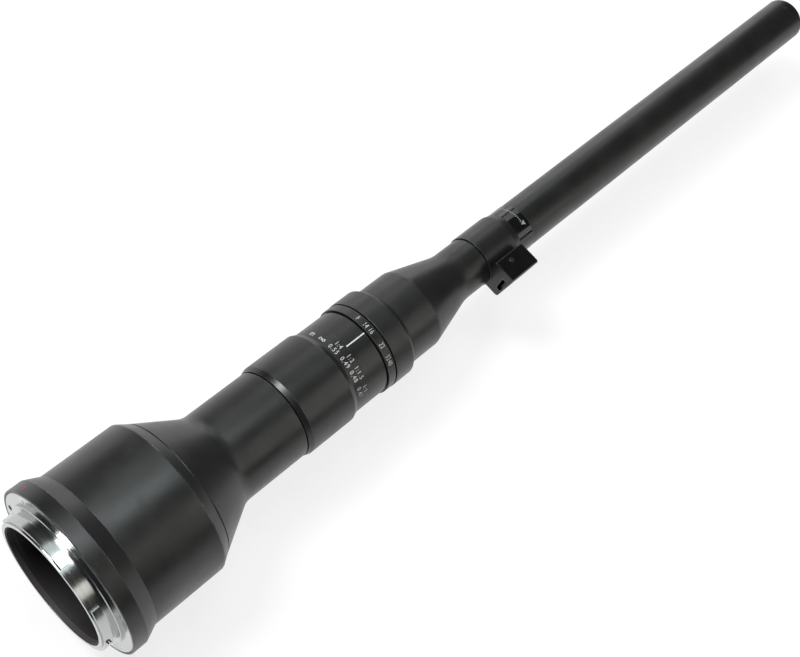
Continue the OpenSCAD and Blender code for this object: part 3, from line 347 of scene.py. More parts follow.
class EdgeWearAndHighlight(Effect):
    """Ragged mask along the corners, where handling takes the finish off, and where a paler painted
    highlight stands for the light that catches the edges.
    """

    name = "edge wear"
    inputs = {"Corner": 0.0, "Amount": 0.5}
    outputs = ("Mask",)
    coarse: float = 160.0
    fine: float = 1900.0
    break_up: float = 1.6
    bare_and_highlit_ramp: Point2 = (0.45, 0.95)

    def wire(self, graph: Graph) -> None:
        """Fills the group: the corner mask, broken up by noise.

        Args:
            graph: Graph of the group.
        """
        place = graph.given["Place"]
        coarse = graph.noise(place, self.coarse, 4.0, Roughness=0.6)
        fine = graph.noise(place, self.fine, 3.0, Roughness=0.6)
        raised = graph.total(graph.given["Amount"], (graph.math("MULTIPLY", coarse, fine), self.break_up))
        graph.give(Mask=graph.between(graph.math("MULTIPLY", raised, graph.given["Corner"]), *self.bare_and_highlit_ramp))


class Handling(Effect):
    """Faint smears that fingers leave, as a mask."""

    name = "handling"
    inputs = {"Size": 60.0}
    outputs = ("Mask",)
    stretch: Point3 = (1.0, 0.45, 0.45)
    patch: Point2 = (0.5, 0.72)
    streaks: float = 1400.0
    streak: Ramp = (0.35, 0.65, 0.45, 1.0)

    def wire(self, graph: Graph) -> None:
        """Fills the group: smears stretched round the barrel, with fine streaks in them.

        Args:
            graph: Graph of the group.
        """
        place = graph.vector("MULTIPLY", graph.given["Place"], self.stretch)
        patch = graph.between(graph.noise(place, graph.given["Size"], 4.0, Distortion=1.4), *self.patch)
        streak = graph.between(graph.noise(place, self.streaks, 2.0), *self.streak)
        graph.give(Mask=graph.math("MULTIPLY", patch, streak))


class Dust(Effect):
    """Sparse specks of dust that lie on what faces up."""

    name = "dust"
    inputs = {"Up": 1.0, "Specks": 950.0}
    outputs = ("Mask",)
    speck: Ramp = (0.05, 0.16, 1.0, 0.0)
    clumps: float = 210.0
    chosen: Point2 = (0.6, 0.7)
    slope: Point2 = (0.1, 0.8)

    def wire(self, graph: Graph) -> None:
        """Fills the group: the middles of sparse cells, thinned by noise and by the slope.

        Args:
            graph: Graph of the group.
        """
        place = graph.given["Place"]
        cells = graph.node("TexVoronoi", Vector=place, Scale=graph.given["Specks"], Randomness=1.0)
        speck = graph.between(cells.outputs["Distance"], *self.speck)
        chosen = graph.between(graph.noise(place, self.clumps, 2.0), *self.chosen)
        up = graph.between(graph.given["Up"], *self.slope)
        graph.give(Mask=graph.math("MULTIPLY", graph.math("MULTIPLY", speck, chosen), up))


GRAIN, LINES, WEAR_AND_HIGHLIGHT, HANDLING, DUST = BlastedGrain(), TurnedLines(), EdgeWearAndHighlight(), Handling(), Dust()


class Finish:
    """A finish: a named material that is made once, when it is first asked for."""

    name = "finish"

    def shade(self, graph: Graph) -> None:
        """Adds the nodes that change over the surface, and sets the shader's constants."""
        raise NotImplementedError

    def material(self) -> bpy.types.Material:
        """Makes the material, or finds the one that is made.

        Returns:
            The material.
        """
        found = bpy.data.materials.get(self.name)
        if found:
            return found
        made = bpy.data.materials.new(self.name)
        self.shade(open_graph(made, "Principled BSDF"))
        return made


@dataclass(frozen=True)
class Anodised(Finish):
    """Black anodised aluminium, blasted or turned, worn along its corners, with the corners also painted
    paler as a painted edge highlight.
    """

    name: str = "satin anodised black"
    colour: Colour = (0.0130, 0.0130, 0.0128)
    # Paler colour of the corners: partly worn anodising, partly a painted highlight along the edges
    worn_and_highlit: Colour = (0.075, 0.076, 0.078)
    roughness: float = 0.35
    tone: float = 0.12
    polish: float = 0.035
    smear: float = 0.05
    grain: float = 5200.0
    depth: float = 0.0035 * MM
    line_share: float = 0.25
    wear: float = 0.25
    dust: float = 0.35

    def shade(self, graph: Graph) -> None:
        """Adds grain, tool lines, handling, dust, and worn corners that are also painted paler as a
        painted edge highlight.

        Args:
            graph: Graph of the material.
        """
        grain = graph.effect(GRAIN, Grain=self.grain)
        lines = graph.effect(LINES)
        smear = graph.effect(HANDLING)["Mask"]
        corner = graph.node("Attribute", attribute_name="wear").outputs["Fac"]
        worn_and_highlit = graph.effect(WEAR_AND_HIGHLIGHT, Corner=corner, Amount=self.wear)["Mask"]
        up = graph.part(graph.node("NewGeometry").outputs["Normal"], 2)
        dust = graph.math("MULTIPLY", graph.effect(DUST, Up=up)["Mask"], self.dust)
        clear, deep = (tuple(c * (1 + s * self.tone) for c in self.colour) for s in (1, -1))
        # Corners are painted paler and smoother: partly real wear, partly a painted highlight along the
        # edges
        base = graph.blend(worn_and_highlit, graph.blend(graph.share(grain["Tone"]), deep, clear), self.worn_and_highlit)
        rough = graph.total(
            self.roughness,
            (grain["Polish"], self.polish),
            (lines["Polish"], self.polish * self.line_share),
            (smear, self.smear),
            (worn_and_highlit, -self.smear),
        )
        graph.give(Base_Color=graph.blend(dust, base, DUST_COLOUR), Roughness=rough)
        graph.bump(graph.total(grain["Height"], (lines["Height"], self.line_share)), self.depth)


@dataclass(frozen=True)
class ThroatBlack(Anodised):
    """Black of the throat: the smooth mouth is painted paler, as painted light falling into the opening,
    and the black behind its step is deeper.
    """

    name: str = "matt throat black"
    colour: Colour = (0.014, 0.0127, 0.015)
    painted_light_mouth: Colour = (0.076, 0.065, 0.068)
    mouth_end: Point2 = (-4.9 * MM, -4.5 * MM)
    roughness: float = 0.7
    wear: float = 0.1

    def shade(self, graph: Graph) -> None:
        """Adds the anodised finish, and paints light on the mouth by making it paler.

        Args:
            graph: Graph of the material.
        """
        super().shade(graph)
        base = graph.target["Base Color"].links[0].from_socket
        past_painted_light = graph.between(graph.part(graph.given["Object"], 0), *self.mouth_end)
        # Painted light: the mouth is paler than the black behind its step
        graph.give(Base_Color=graph.blend(past_painted_light, self.painted_light_mouth, base))


@dataclass(frozen=True)
class Metal(Finish):
    """Bare or plated metal with tool lines and faint smears."""

    name: str = "satin chrome"
    colour: Colour = (0.47, 0.48, 0.48)
    stain: Colour = (0.42, 0.43, 0.43)
    roughness: float = 0.18
    stained: Ramp = (0.4, 1.8, 0.0, 0.6)
    polish: float = 0.02
    smear: float = 0.04
    lines: float = 11000.0
    grain_share: float = 0.3
    depth: float = 0.0009 * MM

    def shade(self, graph: Graph) -> None:
        """Adds tool lines, a fine grain and smears that dull the metal.

        Args:
            graph: Graph of the material.
        """
        grain = graph.effect(GRAIN, Grain=3000.0, Cloud=140.0)
        lines = graph.effect(LINES, Lines=self.lines)
        smear = graph.effect(HANDLING, Size=90.0)["Mask"]
        stain = graph.between(graph.math("ADD", grain["Tone"], smear), *self.stained)
        graph.give(
            Base_Color=graph.blend(stain, self.colour, self.stain),
            Metallic=1.0,
            Roughness=graph.total(self.roughness, (lines["Polish"], self.polish), (smear, self.smear)),
        )
        graph.bump(graph.total(lines["Height"], (grain["Height"], self.grain_share)), self.depth)


@dataclass(frozen=True)
class Moulded(Finish):
    """Moulded or lacquered plastic, rubber, paint or board."""

    name: str = "gloss black"
    colour: Colour = (0.006, 0.006, 0.0065)
    second: Colour = (0.008, 0.008, 0.0085)
    roughness: float = 0.1
    polish: float = 0.03
    smear: float = 0.08
    grain: float = 2600.0
    depth: float = 0.0008 * MM

    def shade(self, graph: Graph) -> None:
        """Adds the moulding's grain, a slow change of tone and smears.

        Args:
            graph: Graph of the material.
        """
        grain = graph.effect(GRAIN, Grain=self.grain, Cloud=180.0)
        smear = graph.effect(HANDLING, Size=110.0)["Mask"]
        graph.give(
            Base_Color=graph.blend(graph.share(grain["Tone"]), self.colour, self.second),
            Roughness=graph.total(self.roughness, (grain["Polish"], self.polish), (smear, self.smear)),
        )
        graph.bump(grain["Height"], self.depth)


@dataclass(frozen=True)
class Glass(Finish):
    """Coated optical glass, or a clear moulded window."""

    name: str = "coated glass"
    colour: Colour = (0.86, 0.93, 0.90)
    tint: Colour = (0.80, 0.88, 0.93)
    roughness: float = 0.015
    haze: float = 0.03
    ior: float = 1.6

    def shade(self, graph: Graph) -> None:
        """Adds a faint change of tint and a haze of dust to clear glass.

        Args:
            graph: Graph of the material.
        """
        grain = graph.effect(GRAIN, Grain=2000.0, Cloud=120.0)
        smear = graph.effect(HANDLING, Size=120.0)["Mask"]
        graph.give(
            Base_Color=graph.blend(graph.share(grain["Tone"]), self.colour, self.tint),
            Roughness=graph.total(self.roughness, (smear, self.haze)),
            IOR=self.ior,
            Transmission_Weight=1.0,
        )


@dataclass(frozen=True)
class LampChip(Finish):
    """Lamp chip: yellow phosphor in the middle of a pale body, unlit."""

    name: str = "lamp chip"
    body: Colour = (0.78, 0.77, 0.72)
    phosphor: Colour = (0.80, 0.62, 0.12)
    coverage: Ramp = (-0.6, 0.6, 0.35, 1.0)
    roughness: Point2 = (0.35, 0.5)
    pitch: float = 900.0
    depth: float = 0.002 * MM

    def shade(self, graph: Graph) -> None:
        """Mottles the phosphor over the pale body.

        Args:
            graph: Graph of the material.
        """
        grain = graph.effect(GRAIN, Grain=self.pitch * 8, Cloud=self.pitch)
        graph.give(
            Base_Color=graph.blend(graph.between(grain["Tone"], *self.coverage), self.body, self.phosphor),
            Roughness=graph.between(grain["Polish"], -1.0, 1.0, *self.roughness),
        )
        graph.bump(grain["Height"], self.depth)


@dataclass(frozen=True)
class Paper(Finish):
    """Pale paper of the floor, lifted for what sees it, and duller past the lens's tip."""

    name: str = "pale floor"
    colour: Colour = (0.26, 0.26, 0.26)
    mottle: float = 0.985
    roughness: float = 0.9
    gloss: float = 0.1
    lift: float = 0.8
    rest: float = 0.1
    fade: Point2 = (0.55, 1.0)

    def shade(self, graph: Graph) -> None:
        """Adds the paper's slow change of tone, and the lift.

        Args:
            graph: Graph of the material.
        """
        tone = graph.share(graph.effect(GRAIN, Grain=900.0, Cloud=3.0)["Tone"])
        path = graph.node("LightPath").outputs
        seen = graph.math("MAXIMUM", path["Is Camera Ray"], path["Is Glossy Ray"])
        seen = graph.math("MAXIMUM", seen, path["Is Transmission Ray"])
        lift = graph.between(graph.part(graph.given["Object"], 0), *self.fade, self.lift, self.rest)
        graph.give(
            Base_Color=graph.blend(tone, tuple(c * self.mottle for c in self.colour), self.colour),
            Roughness=self.roughness,
            Specular_IOR_Level=self.gloss,
            Emission_Color=(1.0, 1.0, 1.0, 1.0),
            Emission_Strength=graph.math("MULTIPLY", seen, lift),
        )


FINISHES: dict[Slot, Finish] = {
    Slot.CHROME: Metal(),
    Slot.SCREW: Metal("bright screw steel", (0.70, 0.69, 0.67), (0.45, 0.43, 0.40), 0.22),
    Slot.THROAT: ThroatBlack(),
    Slot.SATIN: Anodised(),
    Slot.RING: Anodised("ring anodised black", roughness=0.345, grain=6000.0),
    Slot.INNER_BLACK: Anodised("inner matt black", (0.018, 0.017, 0.020), roughness=0.6, dust=0.0),
    Slot.INNER_METAL: Anodised("inner turned metal", (0.06, 0.06, 0.062), line_share=1.0, dust=0.0),
    Slot.BRASS: Metal("turned brass", (0.78, 0.60, 0.30), (0.50, 0.36, 0.17), 0.24),
    Slot.BLADE: Metal("blackened blade steel", (0.09, 0.09, 0.095), (0.05, 0.05, 0.052), 0.34),
    Slot.GLASS: Glass(),
    Slot.GLOSS: Moulded(),
    Slot.BOX: Anodised("box anodised black", (0.014, 0.0143, 0.0145), roughness=0.34, grain=6000.0),
    Slot.SEAL: Moulded("black seal rubber", (0.012, 0.012, 0.012), (0.018, 0.018, 0.018), 0.62),
    Slot.BOARD: Moulded("green board", (0.010, 0.060, 0.026), (0.016, 0.085, 0.036), 0.35),
    Slot.LAMP: LampChip(),
    Slot.WINDOW: Glass("frosted window", (0.84, 0.85, 0.86), (0.78, 0.80, 0.82), 0.22, 0.1, 1.49),
    Slot.RIBBON: Moulded("amber ribbon", (0.42, 0.19, 0.03), (0.52, 0.26, 0.05), 0.3),
    Slot.SOCKET: Metal("stamped socket shell", (0.13, 0.13, 0.13), (0.10, 0.098, 0.095), 0.3),
    Slot.TONGUE: Moulded("tongue black", (0.010, 0.010, 0.010), (0.016, 0.016, 0.016), 0.4),
    Slot.BUTTON: Moulded("button black", (0.016, 0.016, 0.017), (0.022, 0.022, 0.023), 0.3),
}
PAINT_DEPTH = 0.003 * MM
WHITE_PAINT = Moulded("white paint", (0.72, 0.72, 0.70), (0.82, 0.82, 0.80), 0.42, depth=PAINT_DEPTH)
GREY_PAINT = Moulded("grey paint", (0.30, 0.31, 0.32), (0.38, 0.39, 0.40), 0.42, depth=PAINT_DEPTH)
RED_PAINT = Moulded("red paint", (0.17, 0.010, 0.014), (0.22, 0.014, 0.018), 0.35, depth=PAINT_DEPTH)


@dataclass(frozen=True)
class Turn:
    """One corner of a turned outline: place along the axis, radius, and the radius of its rounding."""

    x: float
    r: float
    rounding: float = EDGE_BREAK


def rounded_corner(before: Turn, here: Turn, after: Turn) -> list[Point3]:
    """Rounds one corner of an outline, and sets a point on each side of it where its wear and painted edge
    highlight end.

    Args:
        before: Corner before this one.
        here: Corner to round.
        after: Corner after this one.

    Returns:
        The points that take the corner's place: place along the axis, radius, and the share of wear and
        painted edge highlight.
    """
    corner = Vector((here.x, here.r))
    back, ahead = Vector((before.x, before.r)) - corner, Vector((after.x, after.r)) - corner
    shorter = min(back.length, ahead.length)
    to_back, to_ahead = back.normalized(), ahead.normalized()
    half = math.acos(max(-1.0, min(1.0, to_back.dot(to_ahead)))) / 2
    if half > STRAIGHT:
        return [(here.x, here.r, 0.0)]
    cut = min(here.rounding / math.tan(half), ROUNDING_ROOM * shorter)
    middle = corner + (to_back + to_ahead).normalized() * (cut * math.tan(half) / math.sin(half))
    start, end = corner + to_back * cut - middle, corner + to_ahead * cut - middle
    sweep = math.atan2(start.x * end.y - start.y * end.x, start.dot(end))
    count = max(2, math.ceil(abs(sweep) / ARC_STEP))
    points = []
    for i in range(count + 1):
        turned = Matrix.Rotation(sweep * i / count, 2) @ start
        points.append((middle.x + turned.x, middle.y + turned.y, float(sweep > WEAR_AND_HIGHLIGHT_TURN)))
    reach = min(cut + WEAR_AND_HIGHLIGHT_REACH, WEAR_AND_HIGHLIGHT_ROOM * shorter)
    if reach > cut:
        points.insert(0, (*(corner + to_back * reach), 0.0))
        points.append((*(corner + to_ahead * reach), 0.0))
    return points


def round_axis(x: np.ndarray, r: np.ndarray | float, turn: np.ndarray) -> np.ndarray:
    """Gives points from places along the axis, radii, and turns in radians from the index line."""
    return np.stack(np.broadcast_arrays(x, -r * np.sin(turn), r * np.cos(turn)), axis=-1)


def add_object(name: str, data: bpy.types.ID) -> bpy.types.Object:
    """Makes an object of its data and puts it in the scene.

    Args:
        name: Name of the object.
        data: Its mesh, curve, light or camera.

    Returns:
        The object.
    """
    made = bpy.data.objects.new(name, data)
    bpy.context.scene.collection.objects.link(made)
    return made


def smooth_object(name: str, mesh: bpy.types.Mesh) -> bpy.types.Object:
    """Puts a mesh in the scene, smooth but for its sharp edges.

    Args:
        name: Name of the piece.
        mesh: Its mesh.

    Returns:
        The piece.
    """
    mesh.shade_smooth()
    mesh.set_sharp_from_angle(angle=SHARP_ANGLE)
    return add_object(name, mesh)


def turned_piece(name: str, turns: list[Turn]) -> bpy.types.Object:
    """Turns a closed outline round the optical axis.

    Args:
        name: Name of the piece.
        turns: Corners of the outline, in order.

    Returns:
        The piece, with its wear and painted edge highlight as a point attribute.
    """
    area = sum(a.x * b.r - b.x * a.r for a, b in zip(turns, turns[1:] + turns[:1]))
    if area < 0:
        turns = turns[::-1]
    corners = zip(turns[-1:] + turns[:-1], turns, turns[1:] + turns[:1])
    x, r, wear = np.array([point for corner in corners for point in rounded_corner(*corner)]).T
    angle = np.linspace(0, 2 * math.pi, TURN_STEPS, endpoint=False)[:, None]
    count = len(x)
    step, along = np.meshgrid(np.arange(TURN_STEPS), np.arange(count), indexing="ij")
    here, ahead, after = step * count, (step + 1) % TURN_STEPS * count, (along + 1) % count
    faces = np.stack((here + along, ahead + along, ahead + after, here + after), axis=-1)
    mesh = bpy.data.meshes.new(name)
    mesh.from_pydata(round_axis(x, r, angle).reshape(-1, 3).tolist(), [], faces.reshape(-1, 4).tolist())
    # Corner mask that carries both the wear and the painted edge highlight
    attribute = mesh.attributes.new("wear", "FLOAT", "POINT")
    attribute.data.foreach_set("value", np.tile(wear, TURN_STEPS).astype(np.float32))
    return smooth_object(name, mesh)


class Piecework:
    """What every sub-assembly does with its pieces: dress, carry and report them."""

    def dress(self, slot: Slot, *nodes: str) -> None:
        """Gives nodes of the construction model the finish of a slot.

        Args:
            slot: Material slot.
            nodes: Names of the nodes.
        """
        material = FINISHES[slot].material()
        for name in nodes:
            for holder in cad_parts[name].material_slots:
                holder.material = material
            LOG.info("dressed %s in %s", name, material.name)

    def carry(self, piece: bpy.types.Object, body: Body, finish: Finish, slot: Slot, *nodes: str) -> None:
        """Finishes a new piece and lets it ride on a body.

        Args:
            piece: The new piece, in place.
            body: Body that it rides on.
            finish: Its finish.
            slot: Material slot that the finish stands for. Not used.
            nodes: Nodes of the construction model that it replaces.
        """
        piece.data.materials.clear()
        piece.data.materials.append(finish.material())
        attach(piece, body.value)
        if nodes:
            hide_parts(*nodes)
        LOG.info("made %s with %d faces", piece.name, len(piece.data.polygons))

    def turn(self, node: str, slot: Slot, *corners: Corner, body: Body = Body.BARREL) -> None:
        """Makes the finer turned piece that stands for a node.

        Args:
            node: Node that it replaces.
            slot: Material slot of its finish.
            corners: Corners of its outline, in order.
            body: Body that it rides on.
        """
        piece = turned_piece(node + "_turned", [Turn(*corner) for corner in corners])
        self.carry(piece, body, FINISHES[slot], slot, node)


def span(node: str) -> Point2:
    """Gives where a node starts and ends along the axis."""
    low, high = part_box(node)
    return low.x, high.x


def outer(node: str) -> float:
    """Gives the outer radius of a turned node."""
    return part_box(node)[1].z


def sleeve(ends: Point2, bore: float, r: float, back_edge: float, front_edge: float) -> list[Corner]:
    """Gives the corners of a plain sleeve from its ends, its two radii, and the rounding of its rims."""
    return [(ends[0], bore), (ends[0], r, back_edge), (ends[1], r, front_edge), (ends[1], bore)]


def join_shapes(shapes: list[Shape]) -> Shape:
    """Joins several shapes into one.

    Args:
        shapes: Shapes to join.

    Returns:
        The shape with all their points and faces.
    """
    points, faces, start = [], [], 0
    for some_points, some_faces in shapes:
        points.append(some_points)
        faces += [[start + i for i in face] for face in some_faces]
        start += len(some_points)
    return np.concatenate(points), faces


@dataclass
class Lettering:
    """Paints figures, lines and shapes on a ring, as thin raised meshes bent round the barrel."""

    radius: float
    height: float = 2.0 * MM
    squeeze: float = 0.8
    spacing: float = 1.25
    thinning: float = 0.004
    proud: float = 0.03 * MM
    sunk: float = 0.05 * MM
    digit_height: float = 0.7
    curve_steps: int = 4

    def figures(self, text: str, angle: float, x: float) -> Shape:
        """Draws one text flat and bends it round the barrel.

        Args:
            text: The figures.
            angle: Angle of their middle.
            x: Place of their middle along the axis.

        Returns:
            The bent figures.
        """
        curve = bpy.data.curves.new("figures", "FONT")
        curve.body = text
        curve.align_x = "CENTER"
        curve.space_character = self.spacing
        curve.offset = -self.thinning
        # Any thickness will do, because it only tells the outer face from the inner one
        curve.extrude = 0.5
        curve.resolution_u = self.curve_steps
        drawn = add_object("figures", curve)
        bpy.context.view_layer.update()
        mesh = bpy.data.meshes.new_from_object(drawn.evaluated_get(bpy.context.evaluated_depsgraph_get()))
        across, up, out = np.array([v.co for v in mesh.vertices], float).reshape(-1, 3).T
        faces = [list(p.vertices) for p in mesh.polygons]
        bpy.data.objects.remove(drawn)
        bpy.data.curves.remove(curve)
        bpy.data.meshes.remove(mesh)
        scale = self.height / self.digit_height
        turn = math.radians(angle) + across * scale * self.squeeze / self.radius
        r = np.where(out > 0, self.radius + self.proud, self.radius - self.sunk)
        return round_axis(x + (up - self.digit_height / 2) * scale, r, turn), faces

    def plate(self, outline: list[Point2]) -> Shape:
        """Bends a flat shape round the barrel.

        Args:
            outline: Corners as place along the axis and angle, counted round the shape.

        Returns:
            The bent shape.
        """
        x, angle = np.array(outline).T
        levels = self.radius + self.proud, self.radius - self.sunk
        count = len(outline)
        faces = [list(range(count)), list(range(2 * count - 1, count - 1, -1))]
        faces += [[i, i + count, (i + 1) % count + count, (i + 1) % count] for i in range(count)]
        return np.concatenate([round_axis(x, r, np.radians(angle)) for r in levels]), faces

    def block(self, low: float, high: float, start: float, end: float) -> Shape:
        """Bends a rectangle round the barrel: two places along the axis, and two angles."""
        return self.plate([(low, start), (high, start), (high, end), (low, end)])

    def stroke(self, low: float, high: float, angle: float, width: float) -> Shape:
        """Draws a stroke along the axis, at an angle and with a width in metres."""
        half = math.degrees(width / 2 / self.radius)
        return self.block(low, high, angle - half, angle + half)

    def ring_line(self, x: float, width: float, start: float, end: float) -> Shape:
        """Draws a line round the barrel as a strip of short blocks.

        Args:
            x: Its place along the axis.
            width: Its width.
            start: Angle of its start.
            end: Angle of its end.

        Returns:
            The line.
        """
        count = max(1, math.ceil(abs(end - start) / FLAT_STRETCH))
        edges = [start + (end - start) * i / count for i in range(count + 1)]
        low, high = x - width / 2, x + width / 2
        return join_shapes([self.block(low, high, *sides) for sides in zip(edges, edges[1:])])

    def piece(self, name: str, shapes: list[Shape]) -> bpy.types.Object:
        """Joins painted shapes into one piece.

        Args:
            name: Name of the piece.
            shapes: Its shapes.

        Returns:
            The piece.
        """
        points, faces = join_shapes(shapes)
        mesh = bpy.data.meshes.new(name)
        mesh.from_pydata(points.tolist(), [], faces)
        mesh.validate()
        return smooth_object(name, mesh)


@dataclass
class Mount(Piecework):
    """Chromed bayonet with its screws, pin and black throat."""

    mouth_length: float = 2.0 * MM
    mouth_step: float = 0.2 * MM
    mouth_slope: float = 1.2 * MM
    mouth_edge: float = 0.04 * MM
    throat_radius: float = 23.2 * MM
    seat_radius: float = 23.98 * MM

    def build(self) -> None:
        """Turns the throat ring and dresses the chromed pieces."""
        self.dress(Slot.CHROME, "bayonet_mount")
        self.dress(Slot.SCREW, "mount_screws", "coupling_pin")
        x0, x1 = span("throat_ring")
        mouth_r = self.throat_radius + self.mouth_step
        self.turn(
            "throat_ring",
            Slot.THROAT,
            (x0, mouth_r, self.mouth_edge),
            (x0, self.seat_radius, self.mouth_edge),
            (x1, self.seat_radius),
            (x1, self.throat_radius),
            (x0 + self.mouth_length + self.mouth_slope, self.throat_radius),
            (x0 + self.mouth_length, mouth_r),
        )


@dataclass
class RearHousing(Piecework):
    """Wide drum behind the camera mount, with its collar, bevel, cone and waist."""

    collar_length: float = 5.68 * MM
    collar_edge: float = 0.35 * MM
    collar_bore: float = 24.02 * MM
    flange_recess: float = 2.42 * MM
    flange_radius: float = 32.47 * MM
    web_end: float = 7.4 * MM
    spigot_radius: float = 29.761 * MM
    drum_radius: float = 30.75 * MM
    drum_bore: float = 28.45 * MM
    drum_length: float = 29.08 * MM
    bevel_length: float = 3.71 * MM
    bevel_edge: float = 0.12 * MM
    shoulder_edge: float = 1.0 * MM
    shoulder_radius: float = 28.33 * MM
    groove_width: float = 0.5 * MM
    groove_radius: float = 27.73 * MM
    groove_edge: float = 0.05 * MM
    cone_radius: float = 28.04 * MM
    cone_length: float = 17.53 * MM
    cone_edge: float = 0.08 * MM
    waist_radius: float = 18.21 * MM
    waist_bore: float = 16.31 * MM
    waist_round: float = 9.0 * MM
    waist_edge: float = 0.3 * MM
    bore_round: float = 2.0 * MM
    mark_angle: float = -54.0
    mark_start: float = 1.8 * MM
    mark_length: float = 1.5 * MM
    mark_width: float = 1.9 * MM

    def build(self) -> None:
        """Turns the collar and the housing, and paints the red mounting mark."""
        x0, x1 = span("mount_collar")
        collar_r, socket_r = outer("mount_collar"), self.spigot_radius + SEAT_GAP
        self.turn(
            "mount_collar",
            Slot.SATIN,
            (x0, self.flange_radius),
            (x0, collar_r, self.collar_edge),
            (x0 + self.collar_length, collar_r, self.collar_edge),
            (x1, self.drum_radius),
            (x1, socket_r),
            (self.web_end, socket_r),
            (self.web_end, self.collar_bore),
            (self.flange_recess, self.collar_bore),
            (self.flange_recess, self.flange_radius),
        )
        spigot_end, waist_end = span("rear_housing")
        drum_start, shoulder = x1 + SEAT_GAP, x1 + self.drum_length
        cone = shoulder + self.bevel_length
        groove, waist = cone + self.groove_width, cone + self.cone_length
        self.turn(
            "rear_housing",
            Slot.SATIN,
            (spigot_end, self.drum_bore),
            (spigot_end, self.spigot_radius),
            (drum_start, self.spigot_radius),
            (drum_start, self.drum_radius),
            (shoulder, self.drum_radius, self.shoulder_edge),
            (cone, self.shoulder_radius, self.bevel_edge),
            (cone, self.groove_radius, self.groove_edge),
            (groove, self.groove_radius, self.groove_edge),
            (groove, self.cone_radius, self.cone_edge),
            (waist, self.waist_radius, self.waist_round),
            (waist_end, self.waist_radius, self.waist_edge),
            (waist_end, self.waist_bore),
            (waist, self.waist_bore, self.bore_round),
            (shoulder - self.bevel_length, self.drum_bore, self.bore_round),
        )
        painter = Lettering(collar_r)
        mark_end = self.mark_start + self.mark_length
        mark = painter.stroke(self.mark_start, mark_end, self.mark_angle, self.mark_width)
        self.carry(painter.piece("mounting_mark", [mark]), Body.BARREL, RED_PAINT, Slot.SATIN)


@dataclass
class FocusRing(Piecework):
    """Focus ring with its distance and ratio figures."""

    back_drop: float = 0.75 * MM
    back_length: float = 2.0 * MM
    back_edge: float = 0.12 * MM
    grip_edge: float = 0.5 * MM
    front_round: float = 2.2 * MM
    front_edge: float = 0.7 * MM
    front_step: float = 0.35 * MM
    step_length: float = 0.3 * MM
    step_edge: float = 0.1 * MM
    scale_radius: float = 17.95 * MM
    scale_length: float = 6.0 * MM
    scale_edge: float = 0.05 * MM
    seam_filling: float = 0.08 * MM
    seam_edge: float = 0.03 * MM
    bore: float = 16.62 * MM
    figure_height: float = 1.9 * MM
    distance_inset: float = 2.0 * MM
    ratio_inset: float = 4.6 * MM
    pairs: tuple[tuple[str, str, float], ...] = (
        ("0.55", "1:4", -7.0),
        ("0.49", "1:2", 13.4),
        ("0.48", "1:1.5", 33.0),
        ("0.47", "1:1", 55.9),
        ("0.46", "2:1", 108.0),
    )
    unit_angle: float = -43.0
    unit_height: float = 2.7 * MM
    unit_rise: float = 0.4 * MM
    far_angle: float = -26.2
    far_half_length: float = 1.3 * MM
    far_half_height: float = 0.52 * MM
    far_stroke: float = 0.24 * MM
    far_steps: int = 40

    def build(self) -> None:
        """Turns the ring and paints its figures."""
        x0, x1 = span("focus_ring")
        grip_r, step_r = outer("focus_ring"), self.scale_radius + self.front_step
        scale, end = x1 - self.scale_length, x1 + self.seam_filling
        self.turn(
            "focus_ring",
            Slot.RING,
            (x0, self.bore),
            (x0, grip_r - self.back_drop, self.back_edge),
            (x0 + self.back_length, grip_r, self.grip_edge),
            (scale - self.front_round, grip_r, self.front_edge),
            (scale - self.step_length, step_r, self.step_edge),
            (scale, step_r, self.scale_edge),
            (scale, self.scale_radius, self.scale_edge),
            (end, self.scale_radius, self.seam_edge),
            (end, self.bore),
            body=Body.FOCUS,
        )
        painter = Lettering(self.scale_radius, height=self.figure_height)
        low, high = scale + self.distance_inset, scale + self.ratio_inset
        unit = Lettering(self.scale_radius, height=self.unit_height)
        shapes = [unit.figures("m", self.unit_angle, low + self.unit_rise), self.infinity(painter, low)]
        for distance, ratio, angle in self.pairs:
            shapes += [painter.figures(distance, angle, low), painter.figures(ratio, angle, high)]
        self.carry(painter.piece("focus_figures", shapes), Body.FOCUS, WHITE_PAINT, Slot.RING)

    def infinity(self, painter: Lettering, x: float) -> Shape:
        """Draws the lying figure eight of the farthest distance as a ribbon.

        Args:
            painter: Lettering of the ring.
            x: Middle of the figure along the axis.

        Returns:
            The figure.
        """
        length, height, half = self.far_half_length, self.far_half_height, self.far_stroke / 2
        shapes = []
        for i in range(self.far_steps):
            corners = []
            for step, side in ((i, -1), (i, 1), (i + 1, 1), (i + 1, -1)):
                t = 2 * math.pi * step / self.far_steps
                run = Vector((length * math.cos(t), height * math.cos(2 * t) * 2)).normalized()
                u = length * math.sin(t) + side * half * run.y
                v = height * math.sin(2 * t) - side * half * run.x
                corners.append((x + v, self.far_angle + math.degrees(u / painter.radius)))
            shapes.append(painter.plate(corners))
        return join_shapes(shapes)


@dataclass
class IndexRing(Piecework):
    """Fixed ring with the white index line."""

    bore: float = 15.62 * MM
    seam_filling: float = 0.06 * MM
    seam_edge: float = 0.03 * MM
    front_edge: float = 0.12 * MM
    line_width: float = 0.5 * MM
    line_margin: float = 0.08 * MM

    def build(self) -> None:
        """Turns the ring and paints the index line."""
        x0, x1 = span("index_ring")
        ends, r = (x0 - self.seam_filling, x1), outer("index_ring")
        self.turn("index_ring", Slot.RING, *sleeve(ends, self.bore, r, self.seam_edge, self.front_edge))
        painter = Lettering(r)
        line = painter.stroke(x0 + self.line_margin, x1 - self.line_margin, 0.0, self.line_width)
        self.carry(painter.piece("index_line", [line]), Body.BARREL, WHITE_PAINT, Slot.RING)


